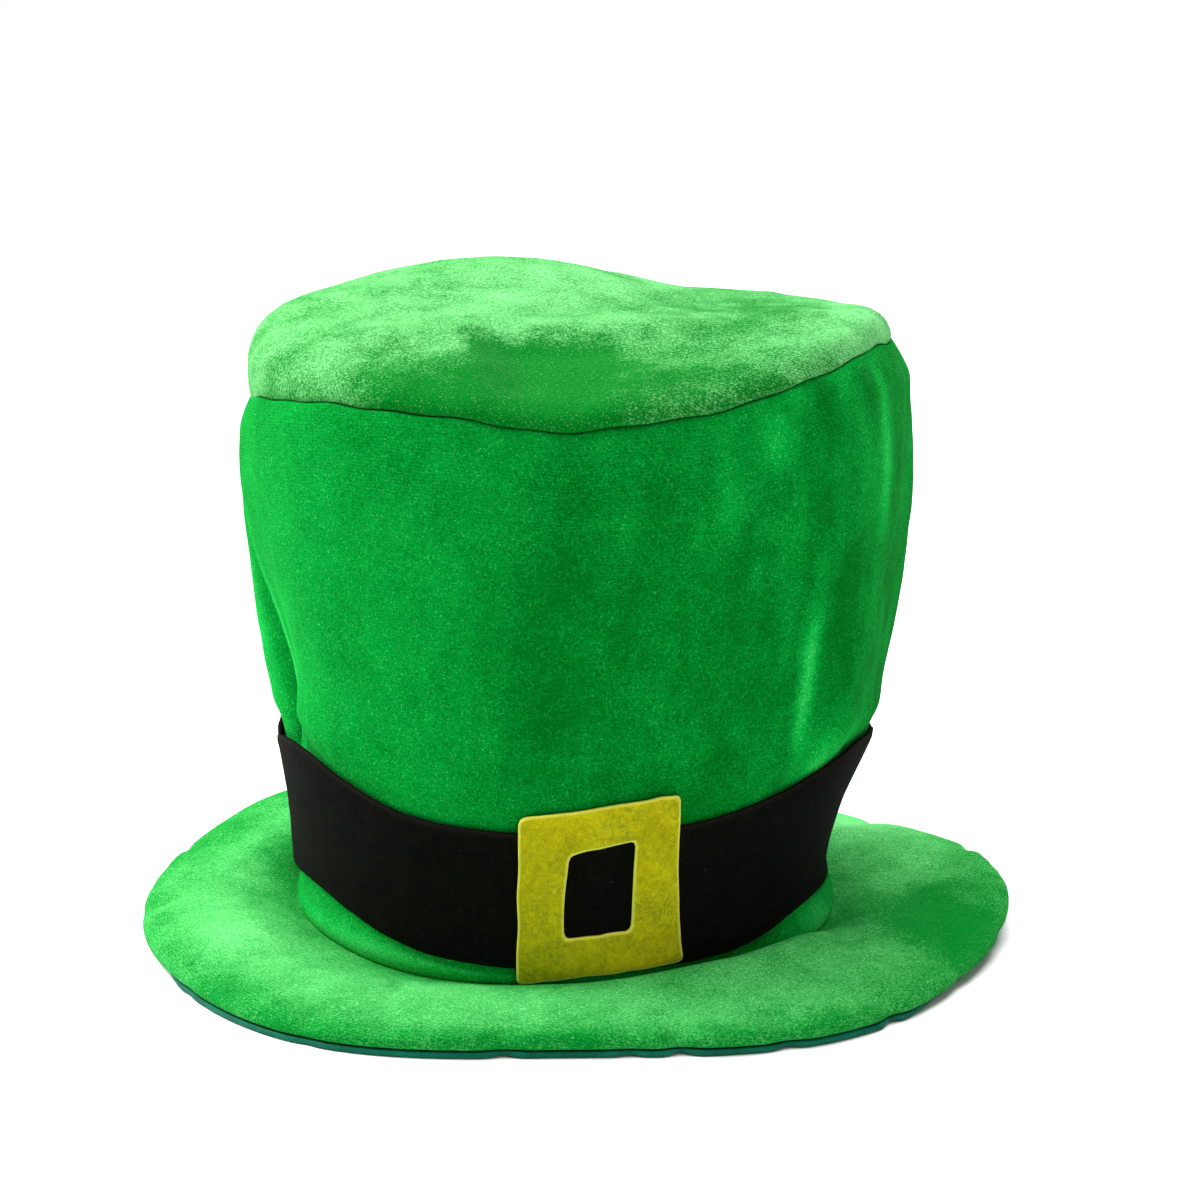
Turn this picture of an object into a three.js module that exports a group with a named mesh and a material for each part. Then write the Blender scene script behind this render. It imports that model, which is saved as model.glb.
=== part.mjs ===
// Costume top hat of short-pile velour: a flared side panel, a separate top panel, a padded brim
// with a lining under it, a felt band and a square felt buckle frame.
// Millimetres, Z up, resting on the brim at z = 0, the buckle towards -Y. Directions are degrees
// counted from +X towards +Y, so the front is at 270.
import * as THREE from 'three';
import { LoftGeometry } from 'three/addons/geometries/LoftGeometry.js';

// Sizes of the hat.
const CROWN_REACH = 117;
const SEAM_HEIGHT = 198;
const TOP_RISE = 21;
const BRIM_REACH = 156;
const BRIM_LIFT = 8;

// Thicknesses, and the clearance left between pieces that touch.
const WALL = 2.5;
const BRIM_PAD = 5;
const LINING = 2.2;
const GAP = 0.4;

// The band, and the buckle frame on it.
const BAND_WIDTH = 49;
const BAND_LIFT = 10;
const FELT = 1.5;
const BUCKLE_WIDTH = 54;
const BUCKLE_HEIGHT = 58;
const BUCKLE_DROP = 1;
const SIDE_BAR = 15.7;
const TOP_BAR = 14.5;
const BOTTOM_BAR = 13;
const BUCKLE_TOWARDS = 275;
const BUCKLE_TILT = 7;

// Shape of the cut across the crown: 2 is an ellipse, more is squarer.
const SQUARENESS = 2.2;
// Brim padding left at the crown's seam, as a share of BRIM_PAD.
const SEWN = 0.5;
// How far the band sinks into the crown's grooves, as a share of their depth.
const BAND_SINK = 0.35;

// One row every 30 degrees, from direction 0. reach is a share of BRIM_REACH; edge, middle and
// inner are heights of the brim's underside as shares of BRIM_LIFT; seam is the height of the top
// seam as a share of SEAM_HEIGHT; band is how far the band's lower edge is above the crown's base
// as a share of BAND_LIFT; wide is the band's height as a share of BAND_WIDTH; corner is how
// square the top panel's shoulder is.
const AROUND = [
  { reach: 0.985, edge: 0.85, middle: 0.30, inner: 0.25, seam: 1.050, band: 0.93, wide: 1.08, corner: 3.0 },
  { reach: 0.948, edge: 0.15, middle: 0.50, inner: 0.35, seam: 1.040, band: 0.99, wide: 1.00, corner: 3.2 },
  { reach: 0.905, edge: 0.00, middle: 0.00, inner: 0.35, seam: 1.015, band: 0.95, wide: 1.00, corner: 3.2 },
  { reach: 0.950, edge: 0.08, middle: 0.00, inner: 0.35, seam: 1.000, band: 0.85, wide: 1.00, corner: 3.2 },
  { reach: 0.970, edge: 1.10, middle: 0.60, inner: 0.40, seam: 1.005, band: 1.01, wide: 1.00, corner: 3.8 },
  { reach: 0.970, edge: 0.75, middle: 0.70, inner: 0.40, seam: 1.015, band: 1.31, wide: 1.00, corner: 6.0 },
  { reach: 0.983, edge: 0.15, middle: 0.30, inner: 0.35, seam: 0.947, band: 1.35, wide: 0.94, corner: 8.0 },
  { reach: 1.015, edge: 0.00, middle: 0.15, inner: 0.40, seam: 0.990, band: 1.84, wide: 1.02, corner: 5.0 },
  { reach: 1.078, edge: 0.00, middle: 0.00, inner: 0.05, seam: 1.005, band: 0.88, wide: 0.98, corner: 3.2 },
  { reach: 1.000, edge: 0.00, middle: 0.00, inner: 0.20, seam: 0.982, band: 0.50, wide: 0.97, corner: 3.2 },
  { reach: 1.055, edge: 0.00, middle: 0.15, inner: 0.12, seam: 1.016, band: 0.68, wide: 1.03, corner: 3.2 },
  { reach: 0.998, edge: 0.10, middle: 0.30, inner: 0.20, seam: 1.066, band: 1.29, wide: 1.14, corner: 3.0 },
];

// The side panel from the brim to the top seam. climb is the share of the way up. right, left,
// front and back are the panel's reach on those sides as shares of CROWN_REACH.
const CLIMB = [
  { climb: 0.00, right: 0.780, left: 0.835, front: 0.870, back: 0.860 },
  { climb: 0.08, right: 0.745, left: 0.842, front: 0.875, back: 0.865 },
  { climb: 0.20, right: 0.795, left: 0.858, front: 0.885, back: 0.880 },
  { climb: 0.32, right: 0.882, left: 0.893, front: 0.905, back: 0.905 },
  { climb: 0.58, right: 0.975, left: 0.960, front: 0.940, back: 0.945 },
  { climb: 0.84, right: 1.000, left: 1.000, front: 0.970, back: 0.970 },
  { climb: 0.94, right: 0.980, left: 0.988, front: 0.960, back: 0.960 },
  { climb: 1.00, right: 0.930, left: 0.960, front: 0.935, back: 0.935 },
];

// Grooves (depth above 0) and ridges (below 0) of the side panel: direction and climb of the
// middle, half width in degrees, half height as a share of the climb, depth as a share of
// CROWN_REACH.
const FOLDS = [
  { towards: 186, climb: 0.40, width: 7, height: 0.18, depth: 0.070 },
  { towards: 198, climb: 0.40, width: 12, height: 0.18, depth: 0.028 },
  { towards: 171, climb: 0.50, width: 7, height: 0.18, depth: -0.018 },
  { towards: 325, climb: 0.45, width: 7, height: 0.16, depth: -0.018 },
  { towards: 340, climb: 0.50, width: 8, height: 0.20, depth: 0.015 },
  { towards: 300, climb: 0.60, width: 10, height: 0.18, depth: 0.014 },
  { towards: 235, climb: 0.70, width: 14, height: 0.16, depth: 0.012 },
];

// Humps and dents of the top panel: x, y, spreadX and spreadY as shares of CROWN_REACH, rise as a
// share of TOP_RISE.
const HUMPS = [
  { x: -0.22, y: 0.26, spreadX: 0.50, spreadY: 0.40, rise: 0.60 },
  { x: -0.05, y: -0.64, spreadX: 0.36, spreadY: 0.20, rise: -0.47 },
  { x: 0.30, y: 0.40, spreadX: 0.24, spreadY: 0.50, rise: -0.12 },
  { x: -0.95, y: 0.05, spreadX: 0.22, spreadY: 0.50, rise: 0.47 },
  { x: 0.85, y: -0.30, spreadX: 0.30, spreadY: 0.45, rise: 0.40 },
];

// How finely the surfaces are cut, as shares of the way along them.
const DIRECTIONS = 60;
const CROWN_ROWS = [0, 0.04, 0.08, 0.12, 0.17, 0.22, 0.27, 0.32, 0.42, 0.55, 0.70, 0.84, 0.93, 1];
const TOP_ROWS = [0, 0.08, 0.18, 0.30, 0.42, 0.54, 0.66, 0.78, 0.89, 1];
const BRIM_ROWS = [0.10, 0.28, 0.50, 0.72, 0.88, 0.96];
const BAND_ROWS = [0, 0.25, 0.5, 0.75, 1];
const BAR_ROWS = [0, 0.5, 1];
const BUCKLE_STATIONS = 7;

// Turns in degrees at which the brim's rounded outer edge is cut, from its top down.
const NOSE_TURNS = [60, 20, -20, -60];

const FULL_TURN = 360;
// Half the turn, in degrees, over which a face's slope is measured.
const NUDGE = 0.5;
const radians = THREE.MathUtils.degToRad;

// A smooth closed curve through one column of AROUND, read at any direction.
function around(column) {
  const points = AROUND.map((row) => new THREE.Vector3(row[column], 0, 0));
  const curve = new THREE.CatmullRomCurve3(points, true, 'catmullrom', 0.5);
  return (towards) => curve.getPoint(THREE.MathUtils.euclideanModulo(towards, FULL_TURN) / FULL_TURN).x;
}

const reachAt = around('reach');
const edgeAt = around('edge');
const middleAt = around('middle');
const innerAt = around('inner');
const seamAt = around('seam');
const bandAt = around('band');
const wideAt = around('wide');
const cornerAt = around('corner');

// A smooth curve through one column of CLIMB, each slope taken from the rows on both sides.
function climbing(column) {
  const last = CLIMB.length - 1;
  const slope = (k) => {
    const below = CLIMB[Math.max(k - 1, 0)];
    const above = CLIMB[Math.min(k + 1, last)];
    return (above[column] - below[column]) / (above.climb - below.climb);
  };
  return (climb) => {
    const above = CLIMB.findIndex((row, k) => k > 0 && climb <= row.climb);
    const k = (above < 0 ? last : above) - 1;
    const span = CLIMB[k + 1].climb - CLIMB[k].climb;
    const f = (climb - CLIMB[k].climb) / span;
    const rise = f * f * (3 - 2 * f);
    return (1 - rise) * CLIMB[k][column] + rise * CLIMB[k + 1][column]
      + span * (f * (1 - f) ** 2 * slope(k) - f * f * (1 - f) * slope(k + 1));
  };
}

const rightAt = climbing('right');
const leftAt = climbing('left');
const frontAt = climbing('front');
const backAt = climbing('back');

// Height of the brim's underside, share 0 at the crown and 1 at the outer edge.
function undersideHeight(towards, share) {
  const height = innerAt(towards) * 2 * (share - 0.5) * (share - 1)
    + middleAt(towards) * 4 * share * (1 - share)
    + edgeAt(towards) * 2 * share * (share - 0.5);
  return BRIM_LIFT * Math.max(height, 0);
}

const brimSeamHeight = (towards) => undersideHeight(towards, 0) + LINING + GAP + BRIM_PAD * SEWN;
const crownBaseHeight = (towards) => brimSeamHeight(towards) + GAP;
const topSeamHeight = (towards) => seamAt(towards) * SEAM_HEIGHT;
const bandLowHeight = (towards) => crownBaseHeight(towards) + bandAt(towards) * BAND_LIFT;

// The shorter way round from one direction to another, in degrees.
function turnBetween(from, to) {
  return THREE.MathUtils.euclideanModulo(to - from + FULL_TURN / 2, FULL_TURN) - FULL_TURN / 2;
}

// How deep the folds are at a place on the side panel, as a share of CROWN_REACH. sink is the
// share of each groove's depth that is kept.
function foldDepth(towards, climb, sink) {
  return FOLDS.reduce((total, fold) => {
    const turn = turnBetween(fold.towards, towards);
    const nearness = Math.exp(-((turn / fold.width) ** 2) - ((climb - fold.climb) / fold.height) ** 2);
    return total + nearness * fold.depth * (fold.depth > 0 ? sink : 1);
  }, 0);
}

// Place on the side panel's outer face.
function crownFace(towards, climb, sink = 1) {
  const across = Math.cos(radians(towards));
  const along = Math.sin(radians(towards));
  const squared = (Math.abs(across) ** SQUARENESS + Math.abs(along) ** SQUARENESS) ** (-1 / SQUARENESS);
  const reach = CROWN_REACH * squared * (1 - foldDepth(towards, climb, sink));
  const base = crownBaseHeight(towards);
  return new THREE.Vector3(
    across * reach * (across > 0 ? rightAt(climb) : leftAt(climb)),
    along * reach * (along > 0 ? backAt(climb) : frontAt(climb)),
    base + (topSeamHeight(towards) - base) * climb,
  );
}

// The same place moved level and outwards by a distance.
function crownPlace(towards, climb, outwards, sink = 1) {
  const along = crownFace(towards + NUDGE, climb, sink).sub(crownFace(towards - NUDGE, climb, sink));
  const outward = new THREE.Vector3(along.y, -along.x, 0).normalize();
  return crownFace(towards, climb, sink).addScaledVector(outward, outwards);
}

// The same, found by its height above the floor.
function crownPlaceAtHeight(towards, height, outwards) {
  const base = crownBaseHeight(towards);
  const climb = (height - base) / (topSeamHeight(towards) - base);
  return crownPlace(towards, climb, outwards, BAND_SINK);
}

// Place on the brim: share 0 at the crown's outer face, 1 at the outer edge, inset from there.
function brimPlace(towards, share, inset, height) {
  const start = crownFace(towards, 0);
  const outwards = new THREE.Vector3(Math.cos(radians(towards)), Math.sin(radians(towards)), 0);
  const end = outwards.multiplyScalar(reachAt(towards) * BRIM_REACH).setZ(start.z);
  const place = start.clone().lerp(end, share);
  const inward = start.clone().sub(end).normalize();
  return place.addScaledVector(inward, inset).setZ(height);
}

// Padding of the brim: thin where it is sewn to the crown, full over the middle and the edge.
const padding = (share) => BRIM_PAD * (SEWN + (1 - SEWN) * Math.sin(Math.min(share * 2, 1) * Math.PI / 2));

// Place on the top panel: turn 0 in the middle, 1 at the seam.
function topFace(towards, turn) {
  const rim = crownFace(towards, 1);
  const angle = turn * Math.PI / 2;
  const out = Math.sin(angle) ** (2 / cornerAt(towards));
  const x = rim.x * out;
  const y = rim.y * out;
  const rise = HUMPS.reduce((total, hump) => {
    const asideX = (x / CROWN_REACH - hump.x) / hump.spreadX;
    const asideY = (y / CROWN_REACH - hump.y) / hump.spreadY;
    return total + hump.rise * Math.exp(-(asideX ** 2) - asideY ** 2);
  }, 1);
  const seam = rim.z + GAP;
  return new THREE.Vector3(x, y, seam + (SEAM_HEIGHT + TOP_RISE * rise - seam) * Math.cos(angle));
}

// The same place moved into the top panel's thickness, straight down in the very middle.
function topPlace(towards, turn, inwards) {
  if (turn === 0) return topFace(towards, turn).sub(new THREE.Vector3(0, 0, inwards));
  const along = topFace(towards + NUDGE, turn).sub(topFace(towards - NUDGE, turn));
  const down = topFace(towards, turn + NUDGE / FULL_TURN).sub(topFace(towards, turn - NUDGE / FULL_TURN));
  return topFace(towards, turn).addScaledVector(down.cross(along).normalize(), -inwards);
}

const steps = (count, length) => Array.from({ length: count }, (_, k) => k * length / count);
const oneTurn = steps(DIRECTIONS, FULL_TURN);

// A body swept once around the hat from closed cuts.
function sweptAround(cut) {
  return new LoftGeometry([...oneTurn, 0].map(cut), { closed: true });
}

function crownSideCut(towards) {
  const inner = CROWN_ROWS.map((climb) => crownPlace(towards, climb, -WALL));
  const outer = CROWN_ROWS.map((climb) => crownPlace(towards, climb, 0));
  return [...inner, ...outer.reverse()];
}

function bandCut(towards) {
  const low = bandLowHeight(towards);
  const width = wideAt(towards) * BAND_WIDTH;
  const row = (outwards) => (share) => crownPlaceAtHeight(towards, low + share * width, outwards);
  const inner = BAND_ROWS.map(row(GAP));
  const outer = BAND_ROWS.map(row(GAP + FELT));
  return [...inner, ...outer.reverse()];
}

function brimUpperCut(towards) {
  const radius = BRIM_PAD / 2;
  const floor = (share) => undersideHeight(towards, share) + LINING + GAP;
  const inner = crownPlace(towards, 0, -WALL);
  const lower = BRIM_ROWS.map((share) => brimPlace(towards, share, 0, floor(share)));
  const upper = BRIM_ROWS.map((share) => brimPlace(towards, share, 0, floor(share) + padding(share)));
  const nose = NOSE_TURNS.map((turn) => {
    const inset = radius * (1 - Math.cos(radians(turn)));
    return brimPlace(towards, 1, inset, floor(1) + radius * (1 + Math.sin(radians(turn))));
  });
  return [
    inner.clone().setZ(floor(0)),
    inner.clone().setZ(brimSeamHeight(towards)),
    brimPlace(towards, 0, 0, brimSeamHeight(towards)),
    ...upper,
    ...nose,
    ...lower.reverse(),
    brimPlace(towards, 0, 0, floor(0)),
  ];
}

function brimLiningCut(towards) {
  const shares = [0, ...BRIM_ROWS, 1];
  const inset = (share) => (share === 1 ? LINING / 2 : 0);
  const height = (share, lift) => undersideHeight(towards, share) + lift;
  const row = (lift) => (share) => brimPlace(towards, share, inset(share), height(share, lift));
  const inner = crownPlace(towards, 0, -WALL);
  const floor = undersideHeight(towards, 0);
  return [
    inner.clone().setZ(floor),
    inner.clone().setZ(floor + LINING),
    ...shares.map(row(LINING)),
    ...shares.map(row(0)).reverse(),
  ];
}

function topPanel() {
  const ring = (inwards) => (turn) => oneTurn.map((towards) => topPlace(towards, turn, inwards));
  const inner = TOP_ROWS.map(ring(WALL));
  const outer = TOP_ROWS.map(ring(0));
  return new LoftGeometry([...inner, ...outer.reverse()], { closed: true });
}

// Place on the buckle frame: across and up are shares of its half width and of its height.
function bucklePlace(across, up, outwards) {
  const aside = across * BUCKLE_WIDTH / 2;
  const low = bandLowHeight(BUCKLE_TOWARDS) - BUCKLE_DROP;
  const height = low + up * BUCKLE_HEIGHT + aside * Math.tan(radians(BUCKLE_TILT));
  const side = aside > 0 ? rightAt : leftAt;
  const reach = CROWN_REACH * side(height / SEAM_HEIGHT);
  const towards = BUCKLE_TOWARDS + THREE.MathUtils.radToDeg(aside / reach);
  return crownPlaceAtHeight(towards, height, 2 * GAP + FELT + outwards);
}

function buckleFrame() {
  const holeSide = 1 - 2 * SIDE_BAR / BUCKLE_WIDTH;
  const holeLow = BOTTOM_BAR / BUCKLE_HEIGHT;
  const holeHigh = 1 - TOP_BAR / BUCKLE_HEIGHT;
  const corners = [
    { across: 1, up: 0, holeAcross: holeSide, holeUp: holeLow },
    { across: -1, up: 0, holeAcross: -holeSide, holeUp: holeLow },
    { across: -1, up: 1, holeAcross: -holeSide, holeUp: holeHigh },
    { across: 1, up: 1, holeAcross: holeSide, holeUp: holeHigh },
  ];
  const mix = THREE.MathUtils.lerp;
  const cuts = corners.flatMap((from, k) => {
    const to = corners[(k + 1) % corners.length];
    return steps(BUCKLE_STATIONS, 1).map((share) => {
      const place = (inwards, outwards) => bucklePlace(
        mix(mix(from.across, to.across, share), mix(from.holeAcross, to.holeAcross, share), inwards),
        mix(mix(from.up, to.up, share), mix(from.holeUp, to.holeUp, share), inwards),
        outwards,
      );
      const back = BAR_ROWS.map((inwards) => place(inwards, 0));
      const front = BAR_ROWS.map((inwards) => place(inwards, FELT));
      return [...back.reverse(), ...front];
    });
  });
  return new LoftGeometry([...cuts, cuts[0]], { closed: true });
}

function piece(name, geometry, colour, roughness) {
  const material = new THREE.MeshStandardMaterial({ color: colour, roughness, metalness: 0 });
  material.name = name;
  const mesh = new THREE.Mesh(geometry, material);
  mesh.name = name;
  return mesh;
}

const hat = new THREE.Group();
hat.name = 'leprechaun_hat';
hat.add(
  piece('crown_side', sweptAround(crownSideCut), 0x0f8f36, 0.9),
  piece('crown_tip', topPanel(), 0x4fd068, 0.9),
  piece('brim_upper', sweptAround(brimUpperCut), 0x35b455, 0.9),
  piece('brim_lining', sweptAround(brimLiningCut), 0x0a7f68, 0.95),
  piece('hat_band', sweptAround(bandCut), 0x14140f, 0.98),
  piece('buckle', buckleFrame(), 0xb0a816, 0.97),
);

// The origin is on the floor under the middle of the hat's box.
const middle = new THREE.Box3().setFromObject(hat).getCenter(new THREE.Vector3());
hat.children.forEach((mesh) => mesh.position.set(-middle.x, -middle.y, 0));

export default hat;
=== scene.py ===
"""Costume top hat of short-pile velour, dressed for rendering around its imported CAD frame.

Lengths in the shape formulas are millimetres, with Z up from the floor and the buckle towards -Y.
Directions are degrees counted from +X towards +Y, so the front is at 270. A surface's climb is 0
at the brim and 1 at the top seam; a brim's share is 0 at the crown and 1 at the outer edge.
"""

import itertools
import logging
import math
from dataclasses import dataclass, field
from enum import Enum

import bpy
import numpy as np
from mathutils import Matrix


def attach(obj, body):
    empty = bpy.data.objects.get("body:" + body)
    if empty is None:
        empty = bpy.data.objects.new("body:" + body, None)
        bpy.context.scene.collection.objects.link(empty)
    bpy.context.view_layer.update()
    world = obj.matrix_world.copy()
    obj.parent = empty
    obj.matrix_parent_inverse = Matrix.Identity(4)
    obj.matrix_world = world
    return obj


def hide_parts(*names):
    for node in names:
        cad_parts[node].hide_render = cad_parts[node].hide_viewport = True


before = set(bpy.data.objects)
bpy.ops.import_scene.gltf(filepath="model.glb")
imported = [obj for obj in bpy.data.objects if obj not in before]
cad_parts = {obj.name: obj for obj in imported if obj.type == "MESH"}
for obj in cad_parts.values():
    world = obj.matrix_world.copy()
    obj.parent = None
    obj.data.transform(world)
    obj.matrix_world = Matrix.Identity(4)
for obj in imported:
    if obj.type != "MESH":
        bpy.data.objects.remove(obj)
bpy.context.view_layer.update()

log = logging.getLogger("costume_hat")

Array = np.ndarray
METRES = 0.001
FULL_TURN = 360.0
# A wave texture's scale is this over the distance from one band to the next.
BANDS_APART = 0.314
# Points along each side of the random lattice, after which it repeats.
LATTICE = 32
# The CAD's origin is under the middle of the hat's box, this far from the shape formulas' own axis.
AXIS_OFFSET = np.array([-0.156, 4.310, 0.0])


class Slot(str, Enum):
    """The record's material slots, each of which is a CAD node's name too."""

    SIDE = "crown_side"
    TIP = "crown_tip"
    BRIM = "brim_upper"
    LINING = "brim_lining"
    BAND = "hat_band"
    BUCKLE = "buckle"


class Ends(Enum):
    """How the last row of a sheet of points meets the first: joined in a ring, or each end a pole."""

    RING = "ring"
    POLES = "poles"


# Every 30 degrees from direction 0: the brim's reach, the heights of its underside at the outer
# edge, halfway and at the crown, the top seam's height, the band's lower edge and width, and how
# square the top panel's shoulder is. Each is a share of the length that HatForm names.
AROUND = {
    "reach": (0.985, 0.948, 0.905, 0.950, 0.970, 0.970, 0.983, 1.015, 1.078, 1.000, 1.055, 0.998),
    "edge": (0.85, 0.15, 0.0, 0.08, 1.10, 0.75, 0.15, 0.0, 0.0, 0.0, 0.0, 0.10),
    "middle": (0.30, 0.50, 0.0, 0.0, 0.60, 0.70, 0.30, 0.15, 0.0, 0.0, 0.15, 0.30),
    "inner": (0.25, 0.35, 0.35, 0.35, 0.40, 0.40, 0.35, 0.40, 0.05, 0.20, 0.12, 0.20),
    "seam": (1.050, 1.040, 1.015, 1.000, 1.005, 1.015, 0.947, 0.990, 1.005, 0.982, 1.016, 1.066),
    "band": (0.93, 0.99, 0.95, 0.85, 1.01, 1.31, 1.35, 1.84, 0.88, 0.50, 0.68, 1.29),
    "wide": (1.08, 1.0, 1.0, 1.0, 1.0, 1.0, 0.94, 1.02, 0.985, 0.97, 1.03, 1.14),
    "corner": (3.0, 3.2, 3.2, 3.2, 3.8, 6.0, 8.0, 5.0, 3.2, 3.2, 3.2, 3.0),
}

# The side panel's reach on four sides at each climb, as shares of the crown's reach.
CLIMB = {
    "climb": (0.0, 0.08, 0.20, 0.32, 0.58, 0.84, 0.94, 1.0),
    "right": (0.780, 0.745, 0.795, 0.882, 0.975, 1.0, 0.980, 0.930),
    "left": (0.835, 0.842, 0.858, 0.893, 0.960, 1.0, 0.988, 0.960),
    "front": (0.870, 0.875, 0.885, 0.905, 0.940, 0.970, 0.960, 0.935),
    "back": (0.860, 0.865, 0.880, 0.905, 0.945, 0.970, 0.960, 0.935),
}


@dataclass(frozen=True)
class Area:
    """A place on the side panel and its half sizes, in degrees round and as a share of the climb."""

    towards: float
    climb: float
    width: float
    height: float

    def near(self, towards: Array, climb: Array) -> Array:
        """How near places are, 0 to 1: a bell over their directions times one over their climbs."""
        return bell_at(self.towards, towards, self.width) * bell(climb - self.climb, self.height)


@dataclass(frozen=True)
class Fold(Area):
    """A groove (depth above 0) or ridge (below 0) that runs up the side panel."""

    depth: float


@dataclass(frozen=True)
class Hump:
    """A swelling (rise above 0) or dent (below 0) of the top panel, in shares of the crown's reach."""

    x: float
    y: float
    spread_x: float
    spread_y: float
    rise: float
    turn: float = 0.0

    def near(self, x: Array, y: Array) -> Array:
        """How near places are: a bell along each of the hump's turned axes.

        Args:
            x: places from left to right, in shares of the crown's reach.
            y: places from front to back, in the same shares.

        Returns:
            Values from 0 to 1.
        """
        tilt = math.radians(self.turn)
        from_x, from_y = x - self.x, y - self.y
        aside_x = from_x * math.cos(tilt) + from_y * math.sin(tilt)
        aside_y = from_y * math.cos(tilt) - from_x * math.sin(tilt)
        return bell(aside_x, self.spread_x) * bell(aside_y, self.spread_y)


@dataclass(frozen=True)
class Roll:
    """A swelling (rise above 0, in millimetres) or hollow of the brim's upper face."""

    towards: float
    share: float
    width: float
    spread: float
    rise: float


@dataclass(frozen=True)
class PileAndLightPatch(Area):
    """A place on the side panel painted lighter (lift above 0) or darker: pile that lies another way,
    together with painted light and shade.
    """

    lift: float


FOLDS = (
    Fold(186, 0.40, 7, 0.18, 0.070),
    Fold(198, 0.40, 12, 0.18, 0.028),
    Fold(171, 0.50, 7, 0.18, -0.018),
    Fold(325, 0.45, 7, 0.16, -0.018),
    Fold(340, 0.50, 8, 0.20, 0.015),
    Fold(300, 0.60, 10, 0.18, 0.014),
    Fold(235, 0.70, 14, 0.16, 0.012),
)

# Creases too narrow for the CAD's solids.
CREASES = (
    Fold(187.0, 0.50, 3.6, 0.28, 0.075),
    Fold(200.0, 0.55, 13.0, 0.17, 0.066),
    Fold(199.0, 0.34, 10.0, 0.13, 0.026),
    Fold(174.0, 0.44, 7.0, 0.24, -0.012),
    Fold(322, 0.28, 4.0, 0.13, -0.012),
    Fold(329, 0.30, 3.0, 0.12, 0.012),
    Fold(336, 0.42, 3.0, 0.14, -0.007),
    Fold(312, 0.30, 4.0, 0.10, 0.006),
    Fold(203, 0.42, 2.0, 0.08, 0.012),
    Fold(207, 0.40, 2.5, 0.07, -0.010),
    Fold(350, 0.74, 3.0, 0.14, -0.008),
    Fold(344, 0.80, 3.5, 0.12, 0.008),
    Fold(60, 0.50, 7.0, 0.25, 0.012),
    Fold(98, 0.60, 8.0, 0.22, -0.010),
    Fold(132, 0.42, 6.0, 0.20, 0.014),
    Fold(20, 0.35, 5.0, 0.16, 0.010),
)

HUMPS = (
    Hump(-0.22, 0.26, 0.50, 0.40, 0.60),
    Hump(-0.05, -0.64, 0.36, 0.20, -0.47),
    Hump(0.30, 0.40, 0.24, 0.50, -0.12),
    Hump(-0.95, 0.05, 0.22, 0.50, 0.47),
    Hump(0.85, -0.30, 0.30, 0.45, 0.40),
)

# The pinched creases at the top panel's back left.
PINCHES = (
    Hump(-0.72, 0.55, 0.18, 0.030, -0.16, -8),
    Hump(-0.62, 0.44, 0.14, 0.026, -0.14, -16),
    Hump(-0.80, 0.36, 0.10, 0.024, -0.10, 12),
)

# The top panel's other small swellings and dimples.
DIMPLES = (
    Hump(-0.70, 0.50, 0.16, 0.030, 0.14, -12),
    Hump(-0.08, -0.86, 0.36, 0.20, -0.25),
    Hump(-0.05, -0.63, 0.34, 0.13, 0.20),
    Hump(0.02, -0.38, 0.46, 0.10, 0.16, 8),
    Hump(-0.30, -0.66, 0.10, 0.20, 0.10, 30),
    Hump(-0.16, -0.56, 0.07, 0.14, -0.08, 20),
    Hump(0.18, -0.74, 0.10, 0.09, 0.08, -25),
    Hump(0.30, -0.62, 0.12, 0.08, -0.06, 15),
    Hump(0.62, -0.50, 0.20, 0.05, -0.06, 25),
    Hump(-0.62, -0.40, 0.20, 0.08, 0.07, -20),
    Hump(-0.80, -0.16, 0.12, 0.10, -0.08, 30),
    Hump(-0.78, 0.30, 0.13, 0.40, -0.14),
)


def smooth_step(value: Array) -> Array:
    """3v² − 2v³ of the value held between 0 and 1."""
    held = np.clip(value, 0.0, 1.0)
    return held * held * (3.0 - 2.0 * held)


def bell(offset: Array, half_width: float | Array) -> Array:
    """exp(−(offset / half width)²)."""
    return np.exp(-((offset / half_width) ** 2))


def turn_between(start: Array | float, end: Array | float) -> Array:
    """The shorter way round from one direction to another, in degrees."""
    return np.mod(np.asarray(end) - start + FULL_TURN / 2, FULL_TURN) - FULL_TURN / 2


def bell_at(centre: Array | float, towards: Array, half_width: float) -> Array:
    """A bell over directions, 1 at its centre."""
    return bell(turn_between(centre, towards), half_width)


def ring_places(towards: Array, reach: float, height: Array | float) -> Array:
    """Places on an upright cylinder round the hat, at which noise is read."""
    angle = np.radians(towards)
    return np.stack(np.broadcast_arrays(np.cos(angle) * reach, np.sin(angle) * reach, height), axis=-1)


def around(column: str, towards: Array) -> Array:
    """Reads a column of AROUND at any direction.

    The curve is a uniform Catmull-Rom spline: between rows b and c it is half of
    2b + (c − a)f + (2a − 5b + 4c − d)f² + (3b − a − 3c + d)f³.

    Args:
        column: the name of the column.
        towards: directions in degrees.

    Returns:
        The values, one for each direction.
    """
    rows = np.asarray(AROUND[column])
    at = np.mod(towards, FULL_TURN) / FULL_TURN * len(rows)
    k = np.floor(at).astype(int)
    f = at - k
    a, b, c, d = (rows[(k + step) % len(rows)] for step in (-1, 0, 1, 2))
    return 0.5 * (2 * b + (c - a) * f + (2 * a - 5 * b + 4 * c - d) * f**2 + (3 * b - a - 3 * c + d) * f**3)


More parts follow.
